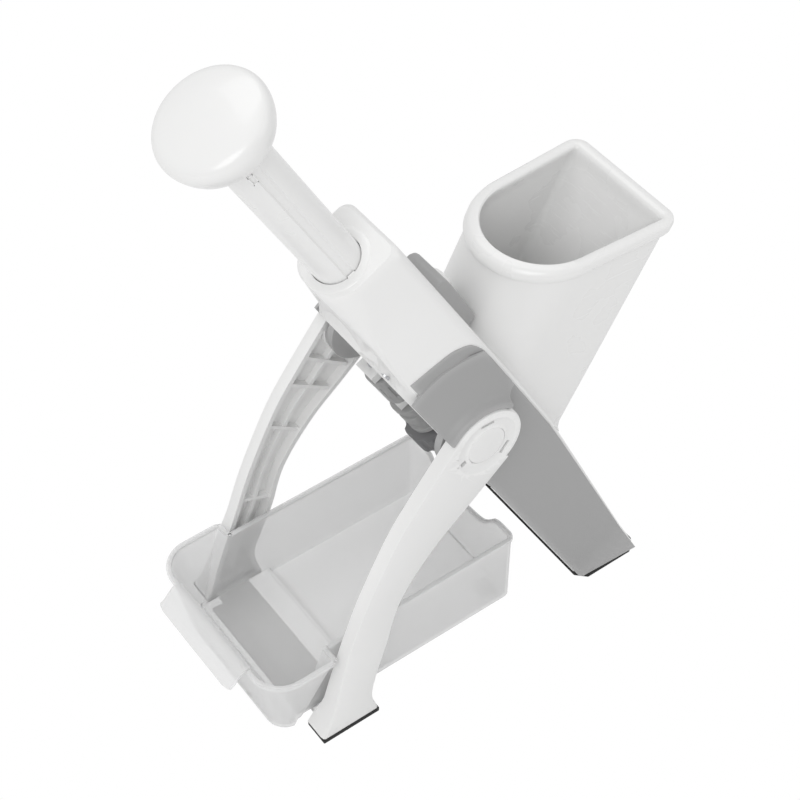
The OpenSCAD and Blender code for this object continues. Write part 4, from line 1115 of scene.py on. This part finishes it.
def container_lip():
    """Pull lip at the front, a shallow S in section with rounded ends."""
    profile = curve_points([(1.2, 60.2), (-1.5, 61.1), (-4.5, 60.2), (-8, 56.6), (-11, 53.6), (-13.4, 52.2),
                            (-LIP_OUT, 51.4)], 4)
    from_end, end_round, pull_in = (0, 0.8, 2.5, 6, 18), 4, 0.12
    rows = []
    for y in [d - LIP_HALF for d in from_end] + [0] + [LIP_HALF - d for d in reversed(from_end)]:
        edge = max(0.0, abs(y) - LIP_HALF + end_round) / end_round
        rows.append([table(TUB_FRONT + 1.3 + x * (1 - pull_in * edge * (-x / LIP_OUT)), y, z)
                     for x, z in profile])
    obj = loft("tray_lip", rows, FROSTED, closed_ring=False, smooth_angle=50)
    modifier(obj, "SOLIDIFY", thickness=1.8 * MM, offset=0)
    modifier(obj, "BEVEL", width=0.6 * MM, segments=2, limit_method="ANGLE")
    applied(obj)
    shade(obj, 50)
    return obj


container()

# Carried-over pieces with softened edges
for node_name, width, body, slot_name, material in [
        ("crossbar", 0.5, "legs", "white_leg", WHITE_LEG),
        ("near_foot_pad", 0.6, "legs", "black_rubber", BLACK_RUBBER),
        ("far_foot_pad", 0.6, "legs", "black_rubber", BLACK_RUBBER),
        ("body_foot_pad", 0.6, "body", "black_rubber", BLACK_RUBBER),
        ("latch_button", 0.3, "latch", "white_shell", WHITE_SHELL),
        ("blade_sled", 0.5, "plunger", "white_frame", WHITE_FRAME),
        ("thickness_plate", 0.3, "slice_plate", "grey_mechanism", GREY_MECHANISM),
        ("thickness_knob", 0.9, "slice_knob", "dark_knob", DARK_KNOB),
        ("thickness_cam", 0.6, "slice_knob", "grey_mechanism", GREY_MECHANISM),
        ("julienne_drum", 0.5, "fry_drum", "grey_mechanism", GREY_MECHANISM)]:
    finish_piece(softened(node_name, width, material), body, slot_name, node_name)


# Floor, light and camera
FLOOR_HALF = 6.0
FLOOR_LEVEL = -0.4 * MM
WORLD_LEVEL = 0.62
BODY_MIDDLE = (0, 0, 0.2)


def floor():
    """Floor that takes the object's shadow and shows white to the camera."""
    mat, tree, bsdf = new_material("studio_floor")
    bsdf.inputs["Base Color"].default_value = (0.95, 0.95, 0.95, 1)
    bsdf.inputs["Roughness"].default_value = 0.9
    white = add(tree, "Emission", [("Color", (1, 1, 1, 1))])
    seen = add(tree, "MixShader", (), [("Fac", add(tree, "LightPath").outputs["Is Camera Ray"]),
                                       (1, bsdf.outputs["BSDF"]), (2, white.outputs["Emission"])])
    tree.links.new(seen.outputs["Shader"], tree.nodes["Material Output"].inputs["Surface"])
    corners = [(x * FLOOR_HALF, y * FLOOR_HALF, FLOOR_LEVEL) for x, y in ((-1, -1), (1, -1), (1, 1), (-1, 1))]
    mesh_object("studio_floor", corners, [(0, 1, 2, 3)], mat, recalc=False)


floor()


def studio_world():
    """Plain light all round, and white behind the object and behind what lets light through."""
    world = bpy.data.worlds.new("studio")
    bpy.context.scene.world = world
    world.use_nodes = True
    tree = world.node_tree
    background = tree.nodes["Background"]
    background.inputs["Color"].default_value = (1, 1, 1, 1)
    path = add(tree, "LightPath")
    seen = add(tree, "Math", (), [(0, path.outputs["Is Camera Ray"]),
                                  (1, path.outputs["Is Transmission Ray"])], "MAXIMUM")
    level = add(tree, "MapRange", [("To Min", WORLD_LEVEL), ("To Max", 1.0)], [("Value", seen.outputs[0])])
    tree.links.new(level.outputs["Result"], background.inputs["Strength"])


studio_world()


def area_light(name, place, aim, size, power):
    """A soft rectangular lamp that points at a place."""
    data = bpy.data.lights.new(name, "AREA")
    data.shape = "RECTANGLE"
    data.size, data.size_y = size
    data.energy = power
    obj = link(bpy.data.objects.new(name, data))
    obj.location = place
    obj.rotation_euler = (Vector(aim) - Vector(place)).to_track_quat("-Z", "Y").to_euler()
    return obj


area_light("key_softbox", (-1.3, -0.9, 1.7), BODY_MIDDLE, (1.2, 1.2), 13)
area_light("fill_softbox", (1.6, -1.4, 1.2), BODY_MIDDLE, (1.4, 1.4), 4)
area_light("top_softbox", (0.2, 0.9, 2.0), (0, 0, 0.1), (1.5, 1.0), 7)


LENS = 88.634
SENSOR = 36
FAR_CLIP = 20
CAMERA_PLACE = (-458.4, -608.1, 1007.0)
HEADING, DIP, ROLL = (math.radians(angle) for angle in (36.3255, 47.9668, 0.1646))


def camera():
    """The photograph's camera, worked out from the object's right angles."""
    forward = Vector((math.sin(HEADING) * math.cos(DIP), math.cos(HEADING) * math.cos(DIP), -math.sin(DIP)))
    right = Vector((math.cos(HEADING), -math.sin(HEADING), 0))
    up = right.cross(forward)
    right_rolled = right * math.cos(ROLL) + up * math.sin(ROLL)
    up_rolled = up * math.cos(ROLL) - right * math.sin(ROLL)
    data = bpy.data.cameras.new("photo_camera")
    data.lens = LENS
    data.sensor_width = SENSOR
    data.clip_end = FAR_CLIP
    obj = link(bpy.data.objects.new("photo_camera", data))
    turn = Matrix((right_rolled, up_rolled, -forward)).transposed().to_4x4()
    obj.matrix_world = Matrix.Translation(table(*CAMERA_PLACE)) @ turn
    bpy.context.scene.camera = obj


camera()
bpy.context.scene.view_settings.view_transform = "Standard"
